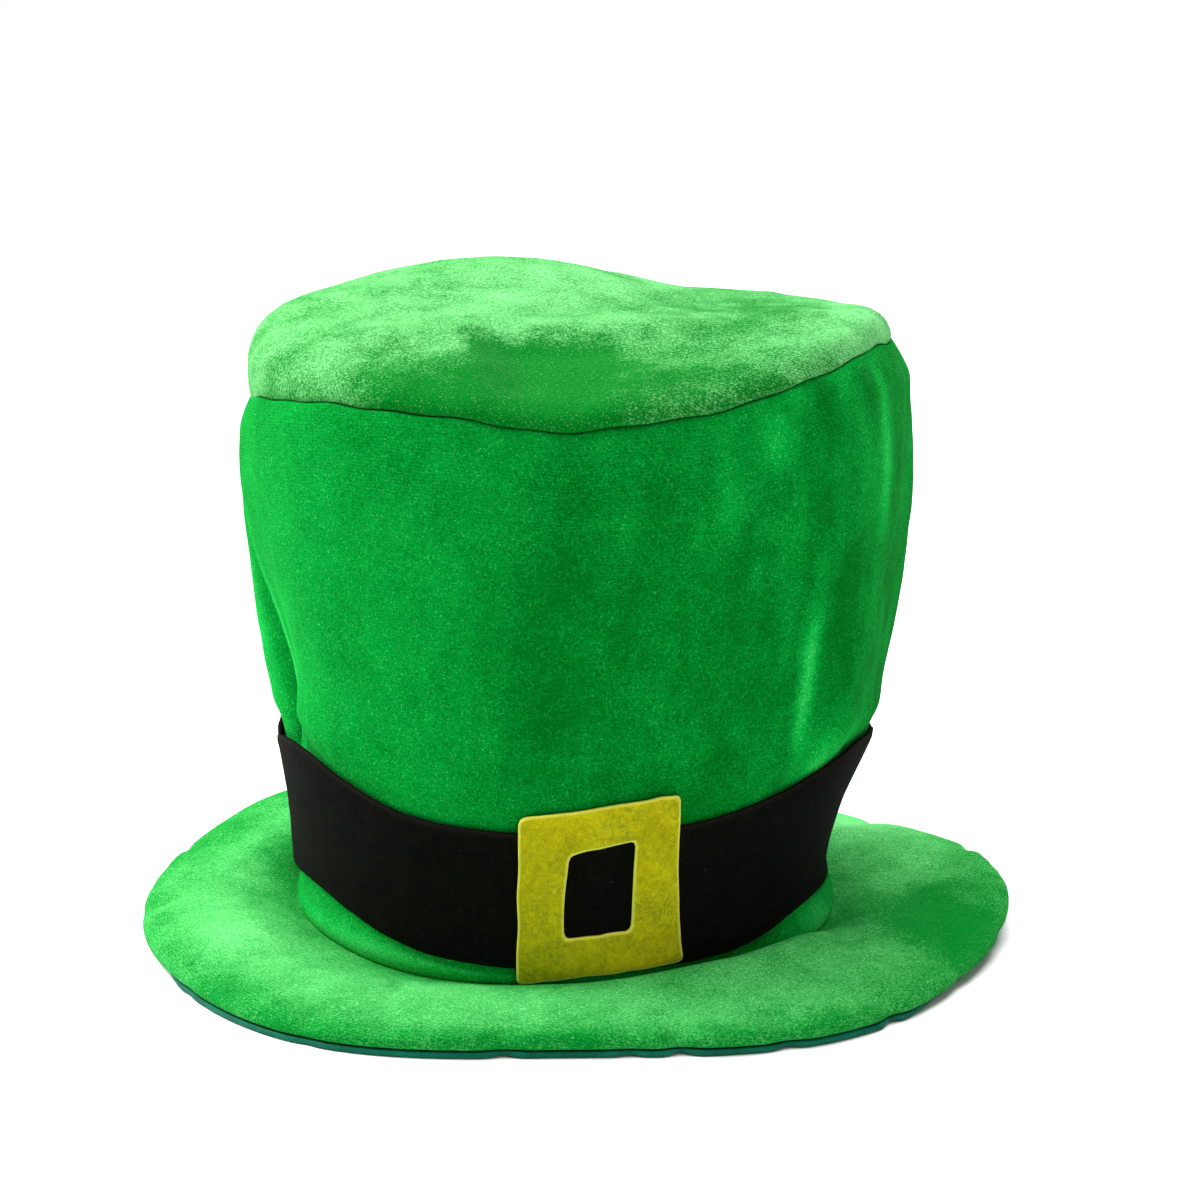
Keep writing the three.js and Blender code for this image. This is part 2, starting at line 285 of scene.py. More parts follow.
def climbing(column: str, climb: Array) -> Array:
    """Reads a column of CLIMB at any height of the side panel.

    The curve is a cubic Hermite spline whose slope at each row is the rise between its two
    neighbours over their distance.

    Args:
        column: the name of the column.
        climb: shares of the way up.

    Returns:
        The values, one for each climb.
    """
    knots, rows = np.asarray(CLIMB["climb"]), np.asarray(CLIMB[column])
    below = np.maximum(np.arange(len(knots)) - 1, 0)
    above = np.minimum(np.arange(len(knots)) + 1, len(knots) - 1)
    slopes = (rows[above] - rows[below]) / (knots[above] - knots[below])
    k = np.clip(np.searchsorted(knots, climb, side="left") - 1, 0, len(knots) - 2)
    span = knots[k + 1] - knots[k]
    f = (climb - knots[k]) / span
    rise = f * f * (3 - 2 * f)
    bend = f * (1 - f) ** 2 * slopes[k] - f * f * (1 - f) * slopes[k + 1]
    return (1 - rise) * rows[k] + rise * rows[k + 1] + span * bend


def soft_noise(points: Array, size: float, seed: int) -> Array:
    """A smooth random field: values on a cubic lattice, blended by 3f² − 2f³ between its corners.

    Args:
        points: places, with x, y and z in the last axis.
        size: the lattice's spacing, in the places' unit.
        seed: picks the lattice's values.

    Returns:
        Values from −1 to 1, one for each place.
    """
    lattice = np.random.default_rng(seed).uniform(-1.0, 1.0, (LATTICE, LATTICE, LATTICE))
    scaled = points / size
    cell = np.floor(scaled).astype(int)
    f = smooth_step(scaled - cell)
    total = np.zeros(points.shape[:-1])
    for corner in itertools.product((0, 1), repeat=3):
        weight = np.prod(np.where(np.asarray(corner) == 1, f, 1.0 - f), axis=-1)
        x, y, z = (np.mod(cell[..., axis] + corner[axis], LATTICE) for axis in range(3))
        total += weight * lattice[x, y, z]
    return total


@dataclass(frozen=True)
class HatForm:
    """The hat's surfaces as formulas of direction and climb or share, as the CAD has them."""

    crown_reach: float = 117.0
    seam_height: float = 198.0
    top_rise: float = 21.0
    brim_reach: float = 156.0
    brim_lift: float = 8.0
    wall: float = 2.5
    brim_pad: float = 5.0
    lining: float = 2.2
    gap: float = 0.4
    band_width: float = 49.0
    band_lift: float = 10.0
    felt: float = 1.5
    squareness: float = 2.2
    sewn: float = 0.5
    band_sink: float = 0.35
    seam_tuck: float = 1.1
    nudge: float = 0.5

    def underside(self, towards: Array, share: Array) -> Array:
        """Height of the brim's underside: a parabola through its inner, middle and edge heights."""
        height = (
            around("inner", towards) * 2 * (share - 0.5) * (share - 1)
            + around("middle", towards) * 4 * share * (1 - share)
            + around("edge", towards) * 2 * share * (share - 0.5)
        )
        return self.brim_lift * np.maximum(height, 0.0)

    def pad_floor(self, towards: Array, share: Array) -> Array:
        """Height of the padding's flat underside, which lies on the lining."""
        return self.underside(towards, share) + self.lining + self.gap

    def brim_seam(self, towards: Array) -> Array:
        """Height of the brim's top where it is sewn to the crown."""
        return self.pad_floor(towards, np.zeros_like(towards)) + self.brim_pad * self.sewn

    def base(self, towards: Array) -> Array:
        """Height of the side panel's lower edge."""
        return self.brim_seam(towards) + self.gap

    def seam(self, towards: Array) -> Array:
        """Height of the seam between the side and top panels, with the sewing's small waves."""
        wave = 0.45 * np.sin(np.radians(towards * 13 + 40)) + 0.3 * np.sin(np.radians(towards * 29))
        return self.seam_height * around("seam", towards) + wave

    def band_low(self, towards: Array) -> Array:
        """Height of the band's lower edge."""
        return self.base(towards) + around("band", towards) * self.band_lift

    def band_high(self, towards: Array) -> Array:
        """Height of the band's upper edge."""
        return self.band_low(towards) + around("wide", towards) * self.band_width

    def fold_depth(self, towards: Array, climb: Array, sink: float) -> Array:
        """Sum of the folds' bells, each times its depth.

        Args:
            towards: directions in degrees.
            climb: shares of the way up.
            sink: share of each groove's depth that is kept.

        Returns:
            Shares by which the reach is narrowed.
        """
        total = np.zeros(np.broadcast(towards, climb).shape)
        for fold in FOLDS:
            total += fold.near(towards, climb) * fold.depth * (sink if fold.depth > 0 else 1.0)
        return total

    def relief(self, towards: Array, climb: Array) -> Array:
        """How far the cloth stands out from the CAD's face, in millimetres.

        The creases' bells, a bulge where the band draws the cloth in, and a soft random swell, all
        of which fade out behind the band, the grooves further down than the rest; and the tuck
        into the top seam.

        Args:
            towards: directions in degrees.
            climb: shares of the way up.

        Returns:
            Distances outwards.
        """
        towards, climb = np.broadcast_arrays(towards, climb)
        base, seam = self.base(towards), self.seam(towards)
        height = base + (seam - base) * climb
        above = height - self.band_high(towards)
        free = smooth_step(above / 9.0)
        stand, tucked = np.zeros(climb.shape), np.zeros(climb.shape)
        for crease in CREASES:
            moved = crease.near(towards, climb) * crease.depth * self.crown_reach
            if crease.depth > 0:
                tucked -= moved
            else:
                stand -= moved
        tucked *= smooth_step(above / 24.0 + 1.0)
        stand += 1.5 * bell(above - 9.0, 8.0) * (1 - bell_at(186.0, towards, 20.0))
        places = ring_places(towards, 110.0, height)
        stand += 0.75 * soft_noise(places * [1, 1, 0.45], 24.0, 3) + 0.28 * soft_noise(places, 9.0, 4)
        stand += 1.3 * bell_at(195.0, towards, 34.0) * smooth_step((climb - 0.88) / 0.09)
        stand += 1.6 * bell_at(350.0, towards, 24.0) * smooth_step((climb - 0.89) / 0.07)
        tuck = self.seam_tuck * bell(seam - height, 1.8) * self.sewn_tight(towards)
        below_band = smooth_step((self.band_low(towards) - height - 1.0) / 3.0)
        foot = 1.3 * bell(height - base - 3.5, 3.5) * below_band
        return stand * free + tucked - tuck + foot

    def sewn_tight(self, towards: Array) -> Array:
        """How deep the top seam is drawn in, 0 to 1: least at the left and right ends."""
        return 1 - 0.7 * bell_at(195.0, towards, 32.0) - 0.6 * bell_at(352.0, towards, 24.0)

    def face(self, towards: Array, climb: Array, sink: float = 1.0) -> Array:
        """Places on the side panel's outer face.

        The cut is a rounded square, reach · (|cos|ⁿ + |sin|ⁿ)^(−1/n), narrowed by the folds and
        scaled on each side by that side's share at this climb.

        Args:
            towards: directions in degrees.
            climb: shares of the way up.
            sink: share of each groove's depth that is kept.

        Returns:
            Places, with x, y and z in the last axis.
        """
        towards, climb = np.broadcast_arrays(np.asarray(towards, float), np.asarray(climb, float))
        across, along = np.cos(np.radians(towards)), np.sin(np.radians(towards))
        n = self.squareness
        reach = self.crown_reach * (np.abs(across) ** n + np.abs(along) ** n) ** (-1 / n)
        reach = reach * (1 - self.fold_depth(towards, climb, sink))
        base = self.base(towards)
        return np.stack(
            [
                across * reach * np.where(across > 0, climbing("right", climb), climbing("left", climb)),
                along * reach * np.where(along > 0, climbing("back", climb), climbing("front", climb)),
                base + (self.seam(towards) - base) * climb,
            ],
            axis=-1,
        )

    def place(self, towards: Array, climb: Array, outwards: Array | float, sink: float = 1.0) -> Array:
        """The same places moved level and outwards by a distance.

        Args:
            towards: directions in degrees.
            climb: shares of the way up.
            outwards: distance along the level normal.
            sink: share of each groove's depth that is kept.

        Returns:
            Places, with x, y and z in the last axis.
        """
        along = self.face(towards + self.nudge, climb, sink) - self.face(towards - self.nudge, climb, sink)
        outward = np.stack([along[..., 1], -along[..., 0], np.zeros(along.shape[:-1])], axis=-1)
        outward /= np.linalg.norm(outward, axis=-1, keepdims=True)
        return self.face(towards, climb, sink) + outward * np.asarray(outwards)[..., None]

    def place_at_height(self, towards: Array, height: Array, outwards: Array | float) -> Array:
        """Places on the band's bed at a height above the floor, moved outwards.

        Args:
            towards: directions in degrees.
            height: heights above the floor.
            outwards: distance along the level normal.

        Returns:
            Places, with x, y and z in the last axis.
        """
        base = self.base(towards)
        climb = (height - base) / (self.seam(towards) - base)
        return self.place(towards, climb, outwards, self.band_sink)

    def brim(self, towards: Array, share: Array, inset: Array | float, height: Array) -> Array:
        """Places on the brim, on the line from the crown's face to the outer edge.

        Args:
            towards: directions in degrees.
            share: 0 at the crown's outer face, 1 at the outer edge.
            inset: distance back from there towards the crown.
            height: height above the floor.

        Returns:
            Places, with x, y and z in the last axis.
        """
        towards, share, height = np.broadcast_arrays(towards, share, height)
        start = self.face(towards, np.zeros_like(towards))
        ray = np.stack([np.cos(np.radians(towards)), np.sin(np.radians(towards))], axis=-1)
        end = ray * (around("reach", towards) * self.brim_reach)[..., None]
        inward = start[..., :2] - end
        inward /= np.linalg.norm(inward, axis=-1, keepdims=True)
        level = start[..., :2] + (end - start[..., :2]) * share[..., None]
        level = level + inward * np.broadcast_to(inset, share.shape)[..., None]
        return np.concatenate([level, height[..., None]], axis=-1)

    def padding(self, share: Array) -> Array:
        """Thickness of the brim's padding: thin at the crown's seam, full from halfway out."""
        return self.brim_pad * (self.sewn + (1 - self.sewn) * np.sin(np.minimum(share * 2, 1) * np.pi / 2))

    def tip(self, towards: Array, turn: Array) -> Array:
        """Places on the top panel: a dome over the seam, raised and dented by the humps.

        Out from the middle it goes as sin(turn · 90°)^(2 / corner) of the seam's reach, and up as
        cos(turn · 90°) of the rise.

        Args:
            towards: directions in degrees.
            turn: 0 in the middle, 1 at the seam.

        Returns:
            Places, with x, y and z in the last axis.
        """
        towards, turn = np.broadcast_arrays(np.asarray(towards, float), np.asarray(turn, float))
        rim = self.face(towards, np.ones_like(towards))
        angle = turn * np.pi / 2
        out = np.sin(angle) ** (2 / around("corner", towards))
        x, y = rim[..., 0] * out, rim[..., 1] * out
        rise = np.ones_like(x)
        for hump in HUMPS + PINCHES + DIMPLES:
            rise += hump.rise * hump.near(x / self.crown_reach, y / self.crown_reach)
        seam = rim[..., 2] + self.gap
        top = self.seam_height + self.top_rise * rise
        return np.stack([x, y, seam + (top - seam) * np.cos(angle)], axis=-1)


FORM = HatForm()


def directions(count: int) -> Array:
    """Evenly spaced directions once round, in degrees."""
    return np.arange(count) * FULL_TURN / count


def weave_mesh(name: str, points: Array, ends: Ends = Ends.RING,
               spots: dict[str, Array] | None = None) -> bpy.types.Object:
    """Makes a closed mesh of a sheet of points that goes once round.

    Face (j, i) joins points j, i and their next neighbours, turned so that it faces outwards when
    j goes with the directions and i runs outwards over the top. The UV map "weave" holds the
    distance round and the distance along each cut, both in metres.

    Args:
        name: name of the piece and its mesh.
        points: places in millimetres, by direction, then along the cut.
        ends: whether the cut closes on itself or ends in two poles.
        spots: named values for each point, kept as attributes.

    Returns:
        The piece, at the origin.
    """
    turns, rows = points.shape[:2]
    places = points.reshape(-1, 3)
    steps = rows if ends is Ends.RING else rows - 1
    j, i = np.meshgrid(np.arange(turns), np.arange(steps), indexing="ij")
    nj, ni = (j + 1) % turns, (i + 1) % rows
    quads = np.stack([j * rows + i, j * rows + ni, nj * rows + ni, nj * rows + i], axis=-1).reshape(-1, 4)
    along = np.linalg.norm(np.diff(points, axis=1, append=points[:, :1]), axis=-1).mean(axis=0)
    far = np.concatenate([[0.0], np.cumsum(along)])[: rows + 1]
    girth = np.linalg.norm(np.diff(points, axis=0, append=points[:1]), axis=-1).sum(axis=0).mean()
    round_share = np.stack([j, j, j + 1, j + 1], axis=-1).reshape(-1, 4) / turns
    along_share = np.stack([far[i], far[i + 1], far[i + 1], far[i]], axis=-1).reshape(-1, 4)
    corners, sizes = quads.ravel(), np.full(len(quads), 4)
    weave = np.stack([round_share * girth, along_share], axis=-1).reshape(-1, 2)
    values = {key: spot.reshape(-1) for key, spot in (spots or {}).items()}
    if ends is Ends.POLES:
        top, bottom = len(places), len(places) + 1
        places = np.vstack([places, points[:, 0].mean(axis=0), points[:, -1].mean(axis=0)])
        last = rows - 1
        this = np.arange(turns) * rows
        following = np.roll(this, -1)
        over = np.stack([np.full(turns, top), this, following], axis=-1)
        under = np.stack([np.full(turns, bottom), following + last, this + last], axis=-1)
        fans = np.vstack([over, under])
        corners = np.concatenate([corners, fans.ravel()])
        sizes = np.concatenate([sizes, np.full(len(fans), 3)])
        weave = np.vstack([weave, np.zeros((len(fans) * 3, 2))])
        values = {
            key: np.concatenate([value, [value[::rows].mean(), value[last::rows].mean()]])
            for key, value in values.items()
        }
    mesh = bpy.data.meshes.new(name)
    mesh.vertices.add(len(places))
    mesh.vertices.foreach_set("co", ((places + AXIS_OFFSET) * METRES).ravel())
    mesh.loops.add(len(corners))
    mesh.loops.foreach_set("vertex_index", corners.astype(np.int32))
    mesh.polygons.add(len(sizes))
    starts = np.concatenate([[0], np.cumsum(sizes)[:-1]])
    mesh.polygons.foreach_set("loop_start", starts.astype(np.int32))
    mesh.polygons.foreach_set("use_smooth", np.ones(len(sizes), dtype=bool))
    mesh.uv_layers.new(name="weave")
    mesh.uv_layers["weave"].data.foreach_set("uv", (weave * METRES).astype(np.float32).ravel())
    for key, value in values.items():
        mesh.attributes.new(key, "FLOAT", "POINT").data.foreach_set("value", value.astype(np.float32))
    mesh.update(calc_edges=True)
    mesh.validate()
    piece = bpy.data.objects.new(name, mesh)
    bpy.context.scene.collection.objects.link(piece)
    return piece


def mount(piece: bpy.types.Object, slot: Slot, material: bpy.types.Material) -> bpy.types.Object:
    """Puts a finished piece in the place of its CAD node.

    Args:
        piece: the finished piece.
        slot: the node it stands for, which is hidden.
        material: its finish.

    Returns:
        The same piece.
    """
    piece.data.materials.append(material)
    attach(piece, "root")
    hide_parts(slot.value)
    return piece


class Recipe:
    """A material's nodes, put together from its places outwards."""

    def __init__(self, name: str) -> None:
        """Starts an empty material with its Principled shader and output."""
        self.material = bpy.data.materials.new(name)
        self.material.use_nodes = True
        self.tree = self.material.node_tree
        self.tree.nodes.clear()
        self.shader = self.tree.nodes.new("ShaderNodeBsdfPrincipled")
        output = self.tree.nodes.new("ShaderNodeOutputMaterial")
        self.tree.links.new(self.shader.outputs["BSDF"], output.inputs["Surface"])

    def node(self, kind: str, inputs: dict | None = None, **settings: object) -> bpy.types.Node:
        """Adds a node.

        Args:
            kind: the node's type, without the usual "ShaderNode".
            inputs: values or sockets for its inputs, by name or number.
            settings: its own settings.

        Returns:
            The node.
        """
        made = self.tree.nodes.new("ShaderNode" + kind)
        for key, value in settings.items():
            setattr(made, key, value)
        for key, value in (inputs or {}).items():
            if isinstance(value, bpy.types.NodeSocket):
                self.tree.links.new(value, made.inputs[key])
            else:
                made.inputs[key].default_value = value
        return made

    def places(self) -> bpy.types.NodeSocket:
        """Object coordinates, in metres."""
        return self.node("TexCoord").outputs["Object"]

    def weave(self) -> bpy.types.NodeSocket:
        """The piece's own weave coordinates, in metres."""
        return self.node("UVMap", uv_map="weave").outputs["UV"]

    def spot(self, name: str) -> bpy.types.NodeSocket:
        """One of the piece's own attributes."""
        return self.node("Attribute", attribute_name=name).outputs["Fac"]

    def noise(self, at: bpy.types.NodeSocket, size: float, detail: float = 2.0, rough: float = 0.55,
              warp: float = 0.0) -> bpy.types.NodeSocket:
        """Soft random values from about 0 to 1, whose patches are about the size given, in metres."""
        made = self.node("TexNoise", {"Vector": at, "Scale": 1.0 / size, "Detail": detail, "Roughness": rough,
                                      "Distortion": warp})
        return made.outputs["Fac"]

    def stretched(self, at: bpy.types.NodeSocket, scale: tuple[float, float, float]) -> bpy.types.NodeSocket:
        """Coordinates scaled on each axis, so that a pattern runs long one way."""
        return self.node("Mapping", {"Vector": at, "Scale": scale}).outputs["Vector"]

    def sum(self, *terms: object) -> bpy.types.NodeSocket:
        """Adds sockets and numbers."""
        total = terms[0]
        for term in terms[1:]:
            total = self.node("Math", {0: total, 1: term}, operation="ADD").outputs[0]
        return total

    def times(self, first: object, second: object) -> bpy.types.NodeSocket:
        """Multiplies two sockets or numbers."""
        return self.node("Math", {0: first, 1: second}, operation="MULTIPLY").outputs[0]

    def spread(self, value: object, low: float, high: float, to_low: float = 0.0,
               to_high: float = 1.0) -> bpy.types.NodeSocket:
        """Takes the range from low to high to a new one, and holds it there."""
        made = self.node("MapRange", {"Value": value, "From Min": low, "From Max": high, "To Min": to_low,
                                      "To Max": to_high})
        return made.outputs["Result"]

    def blend(self, share: object, first: object, second: object) -> bpy.types.NodeSocket:
        """Mixes two colours.

        Args:
            share: how much of the second is taken, a number or a socket.
            first: a colour or a socket.
            second: a colour or a socket.

        Returns:
            The mixed colour's socket.
        """
        made = self.node("Mix", data_type="RGBA")
        for socket, value in ((made.inputs[0], share), (made.inputs[6], first), (made.inputs[7], second)):
            if isinstance(value, bpy.types.NodeSocket):
                self.tree.links.new(value, socket)
            elif isinstance(value, float):
                socket.default_value = value
            else:
                socket.default_value = (*value, 1.0)
        return made.outputs[2]

    def shade(self, **sockets: object) -> None:
        """Sets or links the shader's sockets, with underscores for spaces in their names."""
        for key, value in sockets.items():
            socket = self.shader.inputs[key.replace("_", " ")]
            if isinstance(value, bpy.types.NodeSocket):
                self.tree.links.new(value, socket)
            elif isinstance(value, tuple):
                socket.default_value = (*value, 1.0)
            else:
                socket.default_value = value

    def bump(self, height: object, depth: float, strength: float = 1.0) -> None:
        """Lets the height, 0 to 1, stand up to the depth in metres out of the surface."""
        made = self.node("Bump", {"Height": height, "Distance": depth, "Strength": strength})
        self.tree.links.new(made.outputs["Normal"], self.shader.inputs["Normal"])


@dataclass(frozen=True)
class Velour:
    """Short shiny pile on a knitted back: it darkens and lightens with the way the pile lies, and with the
    painted light and shade that each piece carries.
    """

    name: str
    deep: tuple[float, float, float]
    bright: tuple[float, float, float]
    fleck: tuple[float, float, float]
    shine: tuple[float, float, float] = (0.50, 1.0, 0.55)
    sheen: float = 0.5
    patchy: float = 0.08
    grain: float = 0.22
    rib_turn: float = 0.0
    rib_size: float = 0.0011

    def make(self) -> bpy.types.Material:
        """Builds the material.

        Returns:
            The material. It reads the piece's pile lie with its painted light and shade (−1 to 1), and
            "rib" (how much of the knit shows, 0 to 1).
        """
        recipe = Recipe(self.name)
        at = recipe.places()
        drift = recipe.noise(at, 0.030, 3.0, 0.6, 0.6)
        mottle = recipe.noise(at, 0.006, 3.0, 0.65, 0.4)
        grain = recipe.noise(at, 0.00085, 2.0, 0.75, 0.3)
        fibre = recipe.noise(at, 0.0006, 1.0, 0.6)
        # The tone: random drift, mottle and grain, plus the piece's pile lie with its painted light and
        # shade.
        pile_and_light = recipe.sum(
            recipe.spread(drift, 0.3, 0.7, -0.10, 0.10),
            recipe.spread(mottle, 0.3, 0.7, -self.patchy, self.patchy),
            recipe.spread(grain, 0.3, 0.7, -self.grain, self.grain),
            recipe.times(recipe.spot("nap_and_painted_light"), 0.4),
            0.45,
        )
        rotation = (0.0, 0.0, math.radians(self.rib_turn))
        turned = recipe.node("Mapping", {"Vector": recipe.weave(), "Rotation": rotation})
        wave = recipe.node("TexWave", {"Vector": turned.outputs["Vector"],
                                       "Scale": BANDS_APART / self.rib_size,
                                       "Distortion": 0.6, "Detail": 1.0, "Detail Scale": 2.0},
                           wave_type="BANDS", bands_direction="X")
        rib = recipe.times(wave.outputs["Fac"], recipe.spot("rib"))
        pile_and_light = recipe.sum(pile_and_light, recipe.times(rib, -0.14))
        colour = recipe.blend(recipe.spread(pile_and_light, 0.0, 1.0), self.deep, self.bright)
        colour = recipe.blend(recipe.spread(pile_and_light, 0.9, 1.9, 0.0, 0.6), colour, self.fleck)
        sparkle = recipe.times(recipe.spread(fibre, 0.60, 0.74), recipe.spread(pile_and_light, 0.2, 1.0, 0.15, 0.8))
        colour = recipe.blend(sparkle, colour, self.fleck)
        recipe.shade(Base_Color=colour, Roughness=0.9, Specular_IOR_Level=0.0, Sheen_Weight=self.sheen,
                     Sheen_Roughness=0.38, Sheen_Tint=self.shine)
        height = recipe.sum(recipe.times(grain, 0.5), recipe.times(fibre, 0.25), recipe.times(mottle, 0.5),
                            recipe.times(rib, -0.06))
        recipe.bump(height, 0.0011, 0.75)
        return recipe.material


@dataclass(frozen=True)
class Lining:
    """Plain woven lining with a slight lustre and fine thread lines."""

    name: str = "lining_cloth"
    deep: tuple[float, float, float] = (0.0, 0.075, 0.04)
    bright: tuple[float, float, float] = (0.001, 0.16, 0.09)
    thread: float = 0.0005

    def make(self) -> bpy.types.Material:
        """Builds the material.

        Returns:
            The material. It reads the piece's weave coordinates.
        """
        recipe = Recipe(self.name)
        at = recipe.places()
        shade = recipe.noise(at, 0.012, 3.0, 0.6, 0.5)
        thread = self.threads(recipe)
        share = recipe.sum(recipe.spread(shade, 0.3, 0.7, 0.1, 0.8), recipe.times(thread, 0.2))
        colour = recipe.blend(recipe.spread(share, 0.0, 1.0), self.deep, self.bright)
        recipe.shade(Base_Color=colour, Roughness=0.6, Specular_IOR_Level=0.1, Sheen_Weight=0.04,
                     Sheen_Roughness=0.4, Sheen_Tint=(0.1, 0.7, 0.5))
        recipe.bump(recipe.sum(thread, recipe.times(shade, 2.0)), 0.0003, 0.6)
        return recipe.material

    def threads(self, recipe: Recipe) -> bpy.types.NodeSocket:
        """Two crossing sets of fine lines, one thread apart."""
        lines = [
            recipe.node("TexWave", {"Vector": recipe.weave(), "Scale": BANDS_APART / self.thread},
                        wave_type="BANDS", bands_direction=way).outputs["Fac"]
            for way in ("X", "Y")
        ]
        return recipe.times(lines[0], lines[1])


@dataclass(frozen=True)
class Felt:
    """Pressed felt: matted fibres, with specks of lint or of other fibre colours."""

    name: str
    deep: tuple[float, float, float]
    bright: tuple[float, float, float]
    speck: tuple[float, float, float]
    speck_share: float
    speck_size: float
    speck_weight: float
    clouds: float
    cut: tuple[float, float, float]
    sheen: float

    def make(self) -> bpy.types.Material:
        """Builds the material.

        Returns:
            The material. It reads the piece's "cut", 1 on its cut edges.
        """
        recipe = Recipe(self.name)
        at = recipe.places()
        cloud = recipe.noise(at, 0.009, 4.0, 0.65, 0.8)
        mat = recipe.noise(at, 0.0012, 3.0, 0.7, 1.2)
        fibres = recipe.noise(recipe.stretched(at, (1.0, 1.0, 0.35)), 0.0007, 2.0, 0.7, 2.0)
        share = recipe.sum(recipe.spread(cloud, 0.3, 0.7, -0.3, 0.3), recipe.spread(mat, 0.3, 0.7, -0.4, 0.4),
                           recipe.spread(fibres, 0.3, 0.7, -0.2, 0.2), 0.5)
        colour = recipe.blend(recipe.spread(share, 0.0, 1.0), self.deep, self.bright)
        low = 1.0 - self.speck_share
        specks = recipe.spread(recipe.noise(at, self.speck_size, 2.0, 0.6, 0.4), low, low + 0.12)
        gathered = recipe.spread(recipe.noise(at, 0.014, 2.0, 0.5), 0.5 - self.clouds, 0.62)
        linted = recipe.times(recipe.times(specks, gathered), self.speck_weight)
        colour = recipe.blend(linted, colour, self.speck)
        colour = recipe.blend(recipe.times(recipe.spot("cut"), 0.8), colour, self.cut)
        recipe.shade(Base_Color=colour, Roughness=0.95, Specular_IOR_Level=0.04, Sheen_Weight=self.sheen,
                     Sheen_Roughness=0.6, Sheen_Tint=self.bright)
        recipe.bump(recipe.sum(recipe.times(mat, 0.6), recipe.times(fibres, 0.4)), 0.0007, 0.7)
        return recipe.material


@dataclass
class SidePanel:
    """The flared side panel of the crown."""

    finish: Velour
    turns: int = 540
    outer_rows: int = 130
    inner_rows: int = 30
    patches: tuple[PileAndLightPatch, ...] = (
        # Painted highlights down the folds and streaks at the front right, where the pile also lies lighter.
        PileAndLightPatch(312.5, 0.50, 1.9, 0.13, 2.6),
        PileAndLightPatch(319, 0.31, 3.6, 0.09, 2.6),
        PileAndLightPatch(331, 0.85, 2.4, 0.12, 2.0),
        PileAndLightPatch(327, 0.34, 4.0, 0.06, 1.5),
        PileAndLightPatch(296, 0.86, 3.0, 0.10, 0.9),
        PileAndLightPatch(304, 0.92, 3.0, 0.05, 1.1),
        PileAndLightPatch(318, 0.12, 10.0, 0.10, 0.6),
        # A painted highlight along the left fold's edge, and painted shade in its groove.
        PileAndLightPatch(195, 0.46, 1.8, 0.26, 2.0),
        PileAndLightPatch(203, 0.42, 4.0, 0.15, 1.9),
        PileAndLightPatch(190, 0.50, 3.5, 0.40, -0.9),
        # Painted light from the left on the panel's left side, front and back.
        PileAndLightPatch(176, 0.50, 7.0, 0.45, 0.9),
        PileAndLightPatch(212, 0.45, 12.0, 0.35, 0.3),
        PileAndLightPatch(240, 0.55, 16.0, 0.35, 0.1),
        # Painted shade across the middle of the front.
        PileAndLightPatch(268, 0.50, 15.0, 0.34, -0.78),
        PileAndLightPatch(268, 0.80, 20.0, 0.14, -0.25),
        # Painted light and shade on the foot under the band: lighter at the front left and the right, darker
        # in between.
        PileAndLightPatch(228, 0.0, 30.0, 0.07, 2.5),
        PileAndLightPatch(336, 0.0, 14.0, 0.07, 1.7),
        PileAndLightPatch(302, 0.0, 18.0, 0.06, -1.2),
        # Painted shade over the front right, with smaller darker spots to the right and front left.
        PileAndLightPatch(304, 0.60, 26.0, 0.40, -0.70),
        PileAndLightPatch(292, 0.25, 16.0, 0.14, -0.5),
        PileAndLightPatch(345, 0.50, 8.0, 0.20, -0.4),
        PileAndLightPatch(226, 0.30, 14.0, 0.10, -0.2),
    )

    def build(self) -> bpy.types.Object:
        """Builds the panel: the inner wall from low to high, then the outer one down again.

        Returns:
            The finished piece.
        """
        towards = directions(self.turns)[:, None]
        inner = np.linspace(0.0, 1.0, self.inner_rows)[None, :]
        steps = np.linspace(0.0, 1.0, self.outer_rows)
        outer = (steps - 0.035 * np.sin(2 * np.pi * steps))[::-1][None, :]
        relief_in = FORM.relief(towards, inner)
        relief_out = FORM.relief(towards, outer)
        tuck = FORM.seam_tuck * bell(FORM.seam(towards) * (1 - inner), 2.6)
        wall = FORM.place(towards, inner, np.minimum(relief_in, 0.6) - FORM.wall + 0.4 * tuck)
        skin = FORM.place(towards, outer, relief_out)
        points = np.concatenate([wall, skin], axis=1)
        climb = np.broadcast_to(np.concatenate([inner, outer], axis=1), points.shape[:2])
        nap_and_painted_light = self.pile_and_painted_light(np.broadcast_to(towards, points.shape[:2]), climb, points)
        piece = weave_mesh("side_panel", points, spots={"nap_and_painted_light": nap_and_painted_light, "rib": self.ribs(climb, points)})
        mount(piece, Slot.SIDE, self.finish.make())
        return piece

    def pile_and_painted_light(self, towards: Array, climb: Array, points: Array) -> Array:
        """How the pile lies, with painted light and shade: the listed bells over upright streaks, strongest
        at the right.

        Args:
            towards: directions in degrees.
            climb: shares of the way up.
            points: the places themselves.

        Returns:
            The pile's lie with painted light and shade, below 0 where it is dark and above 0 where it is
            light.
        """
        streaky = 0.35 + 0.85 * bell_at(325.0, towards, 32.0)
        streaks = 0.40 * soft_noise(points * [1, 1, 0.22], 9.0, 21)
        streaks += 0.30 * soft_noise(points * [1, 1, 0.3], 4.0, 22)
        nap_and_painted_light = streaky * streaks + 0.18 * soft_noise(points, 14.0, 23)
        for patch in self.patches:
            nap_and_painted_light += patch.near(towards, climb) * patch.lift
        return nap_and_painted_light

    def ribs(self, climb: Array, points: Array) -> Array:
        """The knit shows most near the top seam and in the middle of the front."""
        return np.clip(0.35 + 0.65 * bell(climb - 0.93, 0.08) + 0.4 * soft_noise(points, 22.0, 31), 0.0, 1.0)


